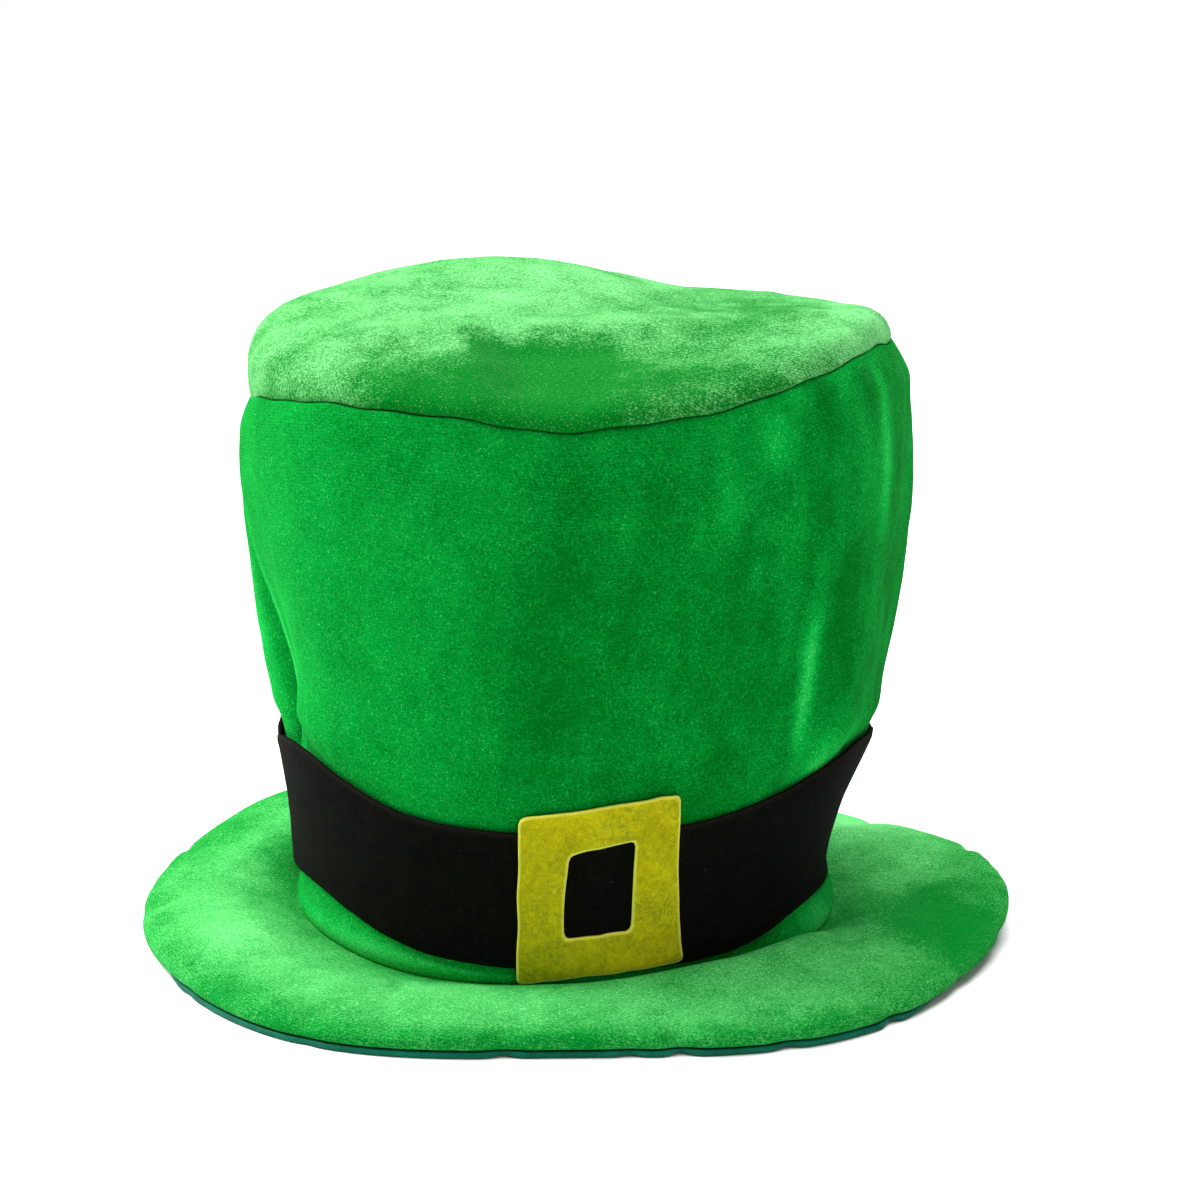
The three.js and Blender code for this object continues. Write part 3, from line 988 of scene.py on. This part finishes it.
@dataclass
class TopPanel:
    """The separate top panel of the crown, sewn to the side panel."""

    finish: Velour
    turns: int = 480
    outer_rows: int = 110
    inner_rows: int = 34

    def build(self) -> bpy.types.Object:
        """Builds the panel: the outer face from its middle to the seam, then the inner one back.

        Returns:
            The finished piece.
        """
        towards = directions(self.turns)[:, None]
        steps = np.linspace(0.012, 1.0, self.outer_rows)
        outer = (1 - (1 - steps) ** 1.25)[None, :]
        inner = np.linspace(0.03, 1.0, self.inner_rows)[::-1][None, :]
        skin = self.offset(towards, outer, 0.0)
        wall = self.offset(towards, inner, FORM.wall)
        points = np.concatenate([skin, wall], axis=1)
        nap_and_painted_light = 0.45 * soft_noise(points, 16.0, 41) + 0.3 * soft_noise(points * [1, 1, 0.6], 6.0, 42)
        # Painted shade on the dent in front, whose slope faces away from the key light.
        nap_and_painted_light -= 1.9 * self.dented(points)
        level = points[..., :2] / FORM.crown_reach
        # Painted shade in the pinched creases.
        nap_and_painted_light -= 1.5 * sum(pinch.near(level[..., 0], level[..., 1]) for pinch in PINCHES)
        # Painted shade on the steep front slope above the seam, and darker a little right of the middle.
        slope = smooth_step((-points[..., 1] - 30) / 40) * smooth_step((222 - points[..., 2]) / 18)
        nap_and_painted_light -= 0.55 * slope + 0.35 * bell(points[..., 0] - 50, 28.0)
        # Painted light on the right end, which faces away from the lamps.
        nap_and_painted_light += 0.6 * smooth_step((points[..., 0] - 76) / 24)
        rib = 0.3 + 0.7 * smooth_step((points[..., 0] - 20) / 60) + 0.3 * soft_noise(points, 20.0, 43)
        spots = {"nap_and_painted_light": nap_and_painted_light, "rib": np.clip(rib, 0, 1)}
        piece = weave_mesh("top_panel", points, Ends.POLES, spots)
        mount(piece, Slot.TIP, self.finish.make())
        return piece

    def dented(self, points: Array) -> Array:
        """Painted shade on the dent in front, whose slope faces away from the key light: a patch with a
        ragged edge.

        Steps of x and y, shifted by noise, bound it; the left end of its front is half as dark.

        Args:
            points: the panel's places.

        Returns:
            Values from 0 to 1.
        """
        x = points[..., 0] + 6 * soft_noise(points, 13.0, 47) + 2.5 * soft_noise(points, 4.0, 48)
        y = points[..., 1] + 5 * soft_noise(points, 12.0, 49)
        lighter = 0.5 * smooth_step((x + 78) / 22) * smooth_step((-62 - y) / 20)
        left = np.maximum(smooth_step((x + 40) / 9), lighter)
        right = smooth_step((36 - x) / 34)
        island = 0.4 * bell(x - 14, 10.0) * bell(y + 100, 9.0)
        return np.clip(smooth_step((-46 - y) / 16) * left * right - island, 0, 1)

    def offset(self, towards: Array, turn: Array, depth: float) -> Array:
        """The dome's places moved into its thickness, with its swell and the tuck into the seam.

        Args:
            towards: directions in degrees.
            turn: 0 in the middle, 1 at the seam.
            depth: distance inwards along the normal.

        Returns:
            Places, with x, y and z in the last axis.
        """
        step = 0.002
        along = FORM.tip(towards + FORM.nudge, turn) - FORM.tip(towards - FORM.nudge, turn)
        down = FORM.tip(towards, turn + step) - FORM.tip(towards, np.maximum(turn - step, 0.001))
        normal = np.cross(down, along)
        normal /= np.linalg.norm(normal, axis=-1, keepdims=True)
        places = FORM.tip(towards, turn)
        inwards = smooth_step((1 - turn) / 0.10)
        swell = (0.7 * soft_noise(places, 17.0, 45) + 0.3 * soft_noise(places, 7.0, 46)) * inwards
        for shoulder, width, most in ((183.0, 32.0, 3.0), (350.0, 30.0, 3.0)):
            swell += most * bell_at(shoulder, towards, width) * bell(turn - 0.72, 0.15) * inwards
        tuck = (FORM.seam_tuck if depth == 0 else 0.6 * FORM.seam_tuck) * bell(1 - turn, 0.035)
        tuck = tuck * FORM.sewn_tight(towards)
        return places + normal * (swell - tuck - depth)[..., None]


# The brim rises in front of the band's lower edge and away from the crown's left corner.
ROLLS = (
    Roll(299, 0.20, 23, 0.20, 7.0),
    Roll(318, 0.17, 13, 0.16, 4.0),
    Roll(264, 0.40, 22, 0.28, 1.6),
    Roll(206, 0.50, 10, 0.50, 2.4),
    Roll(222, 0.35, 9, 0.30, -0.8),
    Roll(165, 0.25, 14, 0.30, 3.5),
    Roll(142, 0.85, 12, 0.30, 2.2),
    Roll(14, 0.62, 10, 0.42, 3.0),
    Roll(47, 0.80, 12, 0.30, -1.4),
    Roll(350, 0.50, 14, 0.35, -1.2),
    Roll(90, 0.55, 30, 0.30, 1.5),
)

# Directions where the brim's outer seam is drawn in, and how far.
PUCKERS = (
    (261.9, 1.7), (276.7, 1.2), (282.7, 2.6), (295.2, 1.9), (310.3, 2.2), (326.0, 1.0), (343.0, 0.8),
    (14.0, 1.2), (38.0, 1.6), (71.0, 1.1), (104.0, 1.5), (131.0, 1.3), (163.0, 1.0), (187.0, 0.7),
    (216.0, 0.6), (239.0, 0.7),
)


def puckers(towards: Array, half_width: float) -> Array:
    """How far the brim's outer seam is drawn in: a sum of bells, in millimetres."""
    return sum(depth * bell_at(at, towards, half_width) for at, depth in PUCKERS)


@dataclass
class Brim:
    """The padded upper half of the brim, blown up by a cloth simulation, and the lining under it."""

    finish: Velour
    lining_finish: Lining
    turns: int = 300
    rows: int = 34
    lining_turns: int = 480
    lining_rows: int = 44
    cloth_steps: int = 20
    most_move: float = 2.2
    crowned: float = 1.5

    def cut(self, towards: Array) -> tuple[Array, Array, Array]:
        """One closed cut of the padding in every direction.

        From the crown's inner face it goes up, out over the padding, round the outer edge's
        half circle, and back along the flat underside.

        Args:
            towards: directions in degrees, as a column.

        Returns:
            The places, which of the cut's points the sewing holds (1) or leaves free (0), and the
            share of the way out.
        """
        radius = FORM.brim_pad / 2
        share = np.linspace(0.0, 0.97, self.rows)[None, :]
        floor = FORM.pad_floor(towards, share)
        drawn = puckers(towards, 1.6)
        near_edge = smooth_step((share - 0.75) / 0.25)
        thin = 1 - 0.22 * near_edge * drawn / 1.5
        thick = FORM.padding(share) * np.clip(thin, 0.55, 1) + self.rise(towards, share)
        top = FORM.brim(towards, share, drawn * near_edge, floor + thick)
        turn = np.radians(np.array([65.0, 40.0, 15.0, -15.0, -40.0, -65.0]))[None, :]
        edge_floor = FORM.pad_floor(towards, np.ones_like(towards))
        nose_height = edge_floor + radius * (1 + np.sin(turn)) * np.clip(1 - 0.18 * drawn, 0.5, 1)
        nose_inset = radius * (1 - np.cos(turn)) * np.where(turn < 0, 0.15, 1.0)
        nose = FORM.brim(towards, np.ones_like(turn), nose_inset + drawn, nose_height)
        low_share = share[:, ::-2]
        low_inset = drawn * smooth_step((low_share - 0.75) / 0.25)
        low = FORM.brim(towards, low_share, low_inset, FORM.pad_floor(towards, low_share))
        inner = FORM.place(towards, np.zeros_like(towards), -FORM.wall)
        floor_in = inner.copy()
        floor_in[..., 2] = FORM.pad_floor(towards, np.zeros_like(towards))
        seam_in = inner.copy()
        seam_in[..., 2] = FORM.brim_seam(towards)
        points = np.concatenate([floor_in, seam_in, top, nose, low], axis=1)
        held_nose = [0, 0, 0, 0.3, 1, 1]
        held = np.concatenate([[1, 1, 1, 0.6], np.zeros(self.rows - 2), held_nose, np.ones(low.shape[1])])
        out = np.concatenate([[0, 0], share[0], np.ones(len(held_nose)), low_share[0]])
        return points, np.broadcast_to(held, points.shape[:2]), np.broadcast_to(out, points.shape[:2])

    def rise(self, towards: Array, share: Array) -> Array:
        """How far the upper face stands above the CAD's: the rolls' bells and the padding's crown.

        Args:
            towards: directions in degrees, as a column.
            share: 0 at the crown, 1 at the outer edge.

        Returns:
            Heights, in millimetres.
        """
        total = self.crowned * bell(share - 0.6, 0.35) * smooth_step((1 - share) / 0.2)
        for roll in ROLLS:
            near = bell_at(roll.towards, towards, roll.width) * bell(share - roll.share, roll.spread)
            total = total + roll.rise * near
        return total * smooth_step(share / 0.12)

    def build(self) -> bpy.types.Object:
        """Builds the padding, lets it swell, and smooths it.

        Returns:
            The finished piece.
        """
        towards = directions(self.turns)[:, None]
        points, held, out = self.cut(towards)
        swell = 0.5 * soft_noise(points, 15.0, 51) * (1 - held) * smooth_step(out * 4)
        points = points + np.stack([np.zeros_like(swell), np.zeros_like(swell), swell], axis=-1)
        nap_and_painted_light = 0.4 * soft_noise(points, 18.0, 52) + 0.3 * soft_noise(points * [1, 1, 2], 6.0, 53)
        round_all = np.broadcast_to(towards, out.shape)
        ragged = round_all + 7 * soft_noise(points, 14.0, 55)
        front = bell_at(258.0, round_all, 62.0)
        # Painted highlight halfway out, painted shade next to the crown, and painted shade on the front of
        # the outer edge's roll.
        nap_and_painted_light = nap_and_painted_light + 0.5 * bell(out - 0.5, 0.2) - 0.7 * bell(out, 0.2) - 0.9 * front * bell(out - 1.0, 0.13)
        # Painted light on the right back, darker at the left back, and a painted highlight on the left
        # front's ridge.
        nap_and_painted_light += 1.5 * bell_at(42.0, ragged, 28.0) - 0.8 * bell_at(152.0, round_all, 26.0)
        nap_and_painted_light += 0.45 * bell_at(214.0, round_all, 20.0) * bell(out - 0.6, 0.3)
        # Painted shadow of the crown over the brim's right, from the crown out to the edge.
        right = bell_at(347.0 - 8.0 * out, ragged, 13.0) * bell(out - 0.66, 0.5)
        rib = 0.2 + 0.8 * smooth_step((out - 0.72) / 0.2) + 0.4 * soft_noise(points, 24.0, 54)
        spots = {"nap_and_painted_light": nap_and_painted_light - 2.0 * right, "rib": np.clip(rib, 0, 1)}
        piece = weave_mesh("brim_pad", points, spots=spots)
        self.swell(piece, held.reshape(-1))
        smooth = piece.modifiers.new("rounded", "SUBSURF")
        smooth.levels = smooth.render_levels = 1
        mount(piece, Slot.BRIM, self.finish.make())
        return piece

    def swell(self, piece: bpy.types.Object, held: Array) -> None:
        """Blows the padding up with a short cloth simulation, and keeps each point's capped move.

        Args:
            piece: the brim's padding, which keeps no modifier of it.
            held: 1 where the sewing holds a point.
        """
        group = piece.vertex_groups.new(name="sewn")
        for weight in np.unique(held[held > 0]):
            group.add(np.flatnonzero(held == weight).tolist(), float(weight), "REPLACE")
        cloth = piece.modifiers.new("cloth", "CLOTH")
        cloth.settings.quality = 6
        cloth.settings.mass = 0.2
        cloth.settings.tension_stiffness = 25
        cloth.settings.compression_stiffness = 8
        cloth.settings.bending_stiffness = 0.6
        cloth.settings.vertex_group_mass = group.name
        cloth.settings.use_pressure = True
        cloth.settings.uniform_pressure_force = 4
        cloth.settings.effector_weights.gravity = 0
        cloth.collision_settings.use_collision = False
        start = np.empty(len(piece.data.vertices) * 3, dtype=np.float32)
        piece.data.vertices.foreach_get("co", start)
        scene = bpy.context.scene
        for step in range(1, self.cloth_steps + 1):
            scene.frame_set(step)
        ended = np.empty_like(start)
        shaped = piece.evaluated_get(bpy.context.evaluated_depsgraph_get()).data
        shaped.vertices.foreach_get("co", ended)
        move = (ended - start).reshape(-1, 3)
        length = np.linalg.norm(move, axis=1, keepdims=True)
        most = self.most_move * METRES
        move *= np.tanh(length / most) * most / np.maximum(length, 1e-9)
        move[held >= 1] = 0.0
        piece.modifiers.remove(cloth)
        piece.vertex_groups.remove(group)
        scene.frame_set(1)
        piece.data.vertices.foreach_set("co", start + move.ravel())
        piece.data.update()
        log.info("brim_pad swelled by up to %.2f mm", float(length.max()) / METRES)

    def build_lining(self) -> bpy.types.Object:
        """Builds the lining: in along the crown's edge, out over its top and back underneath.

        Returns:
            The finished piece.
        """
        towards = directions(self.lining_turns)[:, None]
        share = np.linspace(0.0, 1.0, self.lining_rows)[None, :]
        drawn = puckers(towards, 1.3)
        near_edge = smooth_step((share - 0.8) / 0.2)
        floor = FORM.underside(towards, share)
        seen = smooth_step((towards - 203) / 12) * smooth_step((323 - towards) / 12)
        drawn = drawn + 3.2 * (1 - seen)
        inset = drawn * near_edge
        top = FORM.brim(towards, share[:, :-1], inset[:, :-1], (floor + FORM.lining)[:, :-1])
        turn = np.radians(np.array([70.0, 42.0, 14.0, -14.0, -42.0, -70.0]))[None, :]
        half = FORM.lining / 2
        lift = np.clip(0.35 * drawn * seen, 0.0, 1.2)
        edge_height = floor[:, -1:] + half * (1 + np.sin(turn)) + lift * (1 - np.sin(turn)) / 2
        edge_inset = half * (1 - np.cos(turn)) * np.where(turn > 0, 0.3, 1.0)
        edge = FORM.brim(towards, np.ones_like(turn), edge_inset + drawn, edge_height)
        low = FORM.brim(towards, share[:, ::-1], half + inset[:, ::-1], (floor + lift * near_edge)[:, ::-1])
        inner = FORM.place(towards, np.zeros_like(towards), -FORM.wall)
        floor_in, top_in = inner.copy(), inner.copy()
        floor_in[..., 2] = FORM.underside(towards, np.zeros_like(towards))
        top_in[..., 2] = floor_in[..., 2] + FORM.lining
        points = np.concatenate([floor_in, top_in, top, edge, low[:, :-1]], axis=1)
        piece = weave_mesh("brim_lining_cloth", points)
        mount(piece, Slot.LINING, self.lining_finish.make())
        return piece


@dataclass
class Band:
    """The felt band round the foot of the crown."""

    finish: Felt
    turns: int = 540
    rows: int = 26

    def build(self) -> bpy.types.Object:
        """Builds the band: its inner face from low to high, then its outer one down again.

        Returns:
            The finished piece.
        """
        towards = directions(self.turns)[:, None]
        ring = ring_places(towards, 100.0, 0.0)
        low = FORM.band_low(towards) + 0.35 * soft_noise(ring, 12.0, 61) + 0.15 * soft_noise(ring, 3.0, 62)
        high = FORM.band_high(towards) - 3.5 * bell_at(182.0, towards, 9.0)
        high += 0.35 * soft_noise(ring, 14.0, 63) + 0.15 * soft_noise(ring, 3.0, 64)
        share = np.linspace(0.0, 1.0, self.rows)[None, :]
        height = low + (high - low) * share
        flare = 0.4 * smooth_step((share - 0.85) / 0.15)
        inner = FORM.place_at_height(towards, height, FORM.gap + 0.5 * flare)
        rounding = 0.35 * (bell(share, 0.012) + bell(share - 1, 0.012))
        matted = 0.12 * soft_noise(ring_places(towards, 100.0, height), 5.0, 65)
        outer = FORM.place_at_height(towards, height, FORM.gap + FORM.felt + flare - rounding + matted)
        points = np.concatenate([inner, outer[:, ::-1]], axis=1)
        down = share[0, ::-1]
        cut = np.concatenate([np.zeros(self.rows), bell(down, 0.015) + bell(down - 1, 0.015)])
        piece = weave_mesh("felt_band", points, spots={"cut": np.broadcast_to(cut, points.shape[:2]).copy()})
        mount(piece, Slot.BAND, self.finish.make())
        return piece


@dataclass
class BuckleFrame:
    """The square felt frame on the band, cut out by hand."""

    finish: Felt
    width: float = 54.0
    height: float = 58.0
    drop: float = 1.0
    hole: tuple[tuple[float, float], ...] = ((0.40, 0.235), (-0.43, 0.245), (-0.385, 0.752), (0.43, 0.785))
    towards: float = 275.0
    tilt: float = 7.0
    stations: int = 60
    bar_rows: int = 16

    def place(self, across: Array, up: Array, outwards: Array | float) -> Array:
        """Places on the frame.

        Args:
            across: share of the half width, −1 at the left and 1 at the right.
            up: share of the height.
            outwards: distance out from the frame's back.

        Returns:
            Places, with x, y and z in the last axis.
        """
        aside = across * self.width / 2
        low = FORM.band_low(np.array(self.towards)) - self.drop
        height = low + up * self.height + aside * math.tan(math.radians(self.tilt))
        share = height / FORM.seam_height
        side = np.where(aside > 0, climbing("right", share), climbing("left", share))
        towards = self.towards + np.degrees(aside / (FORM.crown_reach * side))
        return FORM.place_at_height(towards, height, 2 * FORM.gap + FORM.felt + outwards)

    def build(self) -> bpy.types.Object:
        """Builds the frame: its cut goes in over the back of the bar and out over the front.

        Returns:
            The finished piece.
        """
        outer = np.array([[1, 0], [-1, 0], [-1, 1], [0.94, 1.02]], dtype=float)
        inner = np.array(self.hole)
        outer_line, inner_line = self.line(outer, 0.018, 71), self.line(inner, 0.045, 72)
        inner_line[:, 0] -= 0.025 * bell(inner_line[:, 1] - 0.45, 0.2) * smooth_step(-inner_line[:, 0] / 0.4)
        share = np.linspace(0.0, 1.0, self.bar_rows)[None, :, None]
        bar = outer_line[:, None] * (1 - share) + inner_line[:, None] * share
        flat_share = share[..., 0]
        rounding = 0.3 * (bell(flat_share, 0.03) + bell(flat_share - 1, 0.03))
        back = self.place(bar[..., 0], bar[..., 1], 0.0)
        puff = 0.12 * soft_noise(back, 4.0, 73)
        front = self.place(bar[..., 0], bar[..., 1], FORM.felt + 0.2 - rounding + puff)
        points = np.concatenate([back[:, ::-1], front], axis=1)
        edge = bell(flat_share, 0.025) + bell(flat_share - 1, 0.025)
        cut = np.broadcast_to(np.concatenate([edge, edge], axis=1), points.shape[:2]).copy()
        piece = weave_mesh("felt_buckle", points, spots={"cut": cut})
        mount(piece, Slot.BUCKLE, self.finish.make())
        return piece

    def line(self, corners: Array, rounded: float, seed: int) -> Array:
        """A closed line through four corners, each corner rounded off and the sides a little uneven.

        Between corners it goes straight, with the stations closer together near them; a corner's
        point is drawn towards the middle of its neighbours' line.

        Args:
            corners: across and up of each corner.
            rounded: how far the corners are drawn in, as a share of a side.
            seed: picks the unevenness.

        Returns:
            Across and up of each station.
        """
        share = np.linspace(0, 1, self.stations, endpoint=False)
        share = share - 0.10 * np.sin(2 * np.pi * share) / (2 * np.pi) * 2
        start, end = corners, np.roll(corners, -1, axis=0)
        passed = share[None, :, None]
        line = (start[:, None] * (1 - passed) + end[:, None] * passed).reshape(-1, 2)
        near = np.tile(bell(share, rounded) + bell(1 - share, rounded), len(corners))[:, None]
        middle = corners.mean(axis=0)
        line = line + (middle - line) * near * rounded * 0.9
        places = np.column_stack([line * 20, np.zeros(len(line))])
        wobble = np.column_stack([soft_noise(places, 3.5, seed), soft_noise(places, 3.5, seed + 10)])
        return line + wobble * [0.012, 0.006]


@dataclass
class Studio:
    """The pale floor, the soft lights and the camera."""

    camera_place: tuple[float, float, float] = (0.00844, -1.33069, 0.421)
    camera_down: float = 12.93
    lens: float = 116.8
    floor_half: float = 4.0
    overhead_power: float = 3.9
    overhead_spread: float = 70.0

    def build(self) -> None:
        """Sets up the floor, the lights, the surroundings and the camera."""
        self.floor()
        self.softbox("key_softbox", (-1.25, 0.42, 1.15), (0.0, 0.0, 0.12), 0.9, 50.0)
        self.softbox("front_softbox", (0.65, -1.5, 0.65), (0.0, 0.0, 0.12), 1.2, 9.0)
        self.softbox("back_softbox", (0.55, 1.1, 1.7), (0.0, 0.0, 0.05), 1.1, 22.0)
        self.overhead()
        self.surroundings()
        self.camera()

    def floor(self) -> None:
        """Lays the pale floor at height 0."""
        mesh = bpy.data.meshes.new("studio_floor")
        half = self.floor_half
        corners = [(-half, -half, 0), (half, -half, 0), (half, half, 0), (-half, half, 0)]
        mesh.from_pydata(corners, [], [(0, 1, 2, 3)])
        floor = bpy.data.objects.new("studio_floor", mesh)
        bpy.context.scene.collection.objects.link(floor)
        recipe = Recipe("floor_paper")
        recipe.shade(Base_Color=(0.92, 0.92, 0.92), Roughness=0.9, Specular_IOR_Level=0.1)
        mesh.materials.append(recipe.material)

    def softbox(self, name: str, place: tuple[float, float, float], at: tuple[float, float, float],
                size: float, power: float) -> None:
        """Hangs a square soft light that faces a point.

        Args:
            name: name of the light.
            place: where it hangs, in metres.
            at: the point that it faces.
            size: side of the square, in metres.
            power: its power, in watts.
        """
        light = bpy.data.lights.new(name, "AREA")
        light.energy = power
        light.size = size
        lamp = bpy.data.objects.new(name, light)
        lamp.location = place
        x, y, z = np.asarray(at) - np.asarray(place)
        lamp.rotation_euler = (math.atan2(math.hypot(x, y), -z), 0.0, math.atan2(y, x) - math.pi / 2)
        bpy.context.scene.collection.objects.link(lamp)

    def overhead(self) -> None:
        """Lights the whole floor evenly from above, with soft shadows."""
        light = bpy.data.lights.new("overhead_light", "SUN")
        light.energy = self.overhead_power
        light.angle = math.radians(self.overhead_spread)
        lamp = bpy.data.objects.new("overhead_light", light)
        lamp.rotation_euler = (math.radians(-8.0), math.radians(-6.0), 0.0)
        bpy.context.scene.collection.objects.link(lamp)

    def surroundings(self) -> None:
        """Makes the room plain white to the camera, lit by its lights alone, with colours as they are."""
        world = bpy.context.scene.world = bpy.data.worlds.new("studio_room")
        world.use_nodes = True
        background = world.node_tree.nodes["Background"]
        background.inputs["Color"].default_value = (1.0, 1.0, 1.0, 1.0)
        background.inputs["Strength"].default_value = 1.0
        world.cycles_visibility.diffuse = False
        world.cycles_visibility.glossy = False
        bpy.context.scene.view_settings.view_transform = "Standard"

    def camera(self) -> None:
        """Puts the camera where the photograph was taken from."""
        data = bpy.data.cameras.new("photo_camera")
        data.lens = self.lens
        data.sensor_width = 36.0
        data.clip_start, data.clip_end = 0.05, 30.0
        camera = bpy.data.objects.new("photo_camera", data)
        camera.location = self.camera_place
        camera.rotation_euler = (math.radians(90.0 - self.camera_down), 0.0, 0.0)
        bpy.context.scene.collection.objects.link(camera)
        bpy.context.scene.camera = camera


@dataclass
class Finishes:
    """The cloths and felts that the hat is sewn from; the tip's and the brim's velour colours are made paler
    with painted sheen.
    """

    side: Velour = field(default_factory=lambda: Velour(
        "velour_side", deep=(0.0, 0.115, 0.008), bright=(0.0015, 0.37, 0.045), fleck=(0.09, 0.66, 0.17),
        sheen=0.04, grain=0.30, rib_turn=90.0))
    # Painted sheen and top light: the tip's and the brim's pale bright and fleck colours stand in for the
    # sheen of pile seen at a grazing angle under the lamps.
    tip: Velour = field(default_factory=lambda: Velour(
        "velour_tip_painted_sheen", deep=(0.0, 0.14, 0.010), bright=(0.18, 0.60, 0.20), fleck=(0.48, 0.93, 0.50),
        sheen=0.09, shine=(0.50, 1.0, 0.52), grain=0.40, rib_turn=38.0))
    brim: Velour = field(default_factory=lambda: Velour(
        "velour_brim_painted_sheen", deep=(0.0, 0.20, 0.020), bright=(0.09, 0.53, 0.13), fleck=(0.40, 0.88, 0.42),
        sheen=0.08, shine=(0.42, 1.0, 0.45), grain=0.42, rib_turn=82.0))
    lining: Lining = field(default_factory=Lining)
    band: Felt = field(default_factory=lambda: Felt(
        "felt_black", deep=(0.0012, 0.0012, 0.0007), bright=(0.0045, 0.0043, 0.003),
        speck=(0.12, 0.11, 0.09), speck_share=0.30, speck_size=0.0011, speck_weight=0.8, clouds=0.05,
        cut=(0.010, 0.009, 0.007), sheen=0.06))
    buckle: Felt = field(default_factory=lambda: Felt(
        "felt_olive", deep=(0.24, 0.24, 0.003), bright=(0.52, 0.46, 0.006), speck=(0.07, 0.16, 0.02),
        speck_share=0.50, speck_size=0.0013, speck_weight=0.5, clouds=0.12, cut=(0.85, 0.82, 0.12),
        sheen=0.04))


def main() -> None:
    """Builds the hat piece by piece, then the studio."""
    finishes = Finishes()
    brim = Brim(finishes.brim, finishes.lining)
    makers = (
        brim.build_lining,
        brim.build,
        SidePanel(finishes.side).build,
        TopPanel(finishes.tip).build,
        Band(finishes.band).build,
        BuckleFrame(finishes.buckle).build,
    )
    for make in makers:
        piece = make()
        log.info("%s: %d points", piece.name, len(piece.data.vertices))
    Studio().build()


if __name__ == "__main__":
    logging.basicConfig(level=logging.INFO, format="%(message)s")
    main()
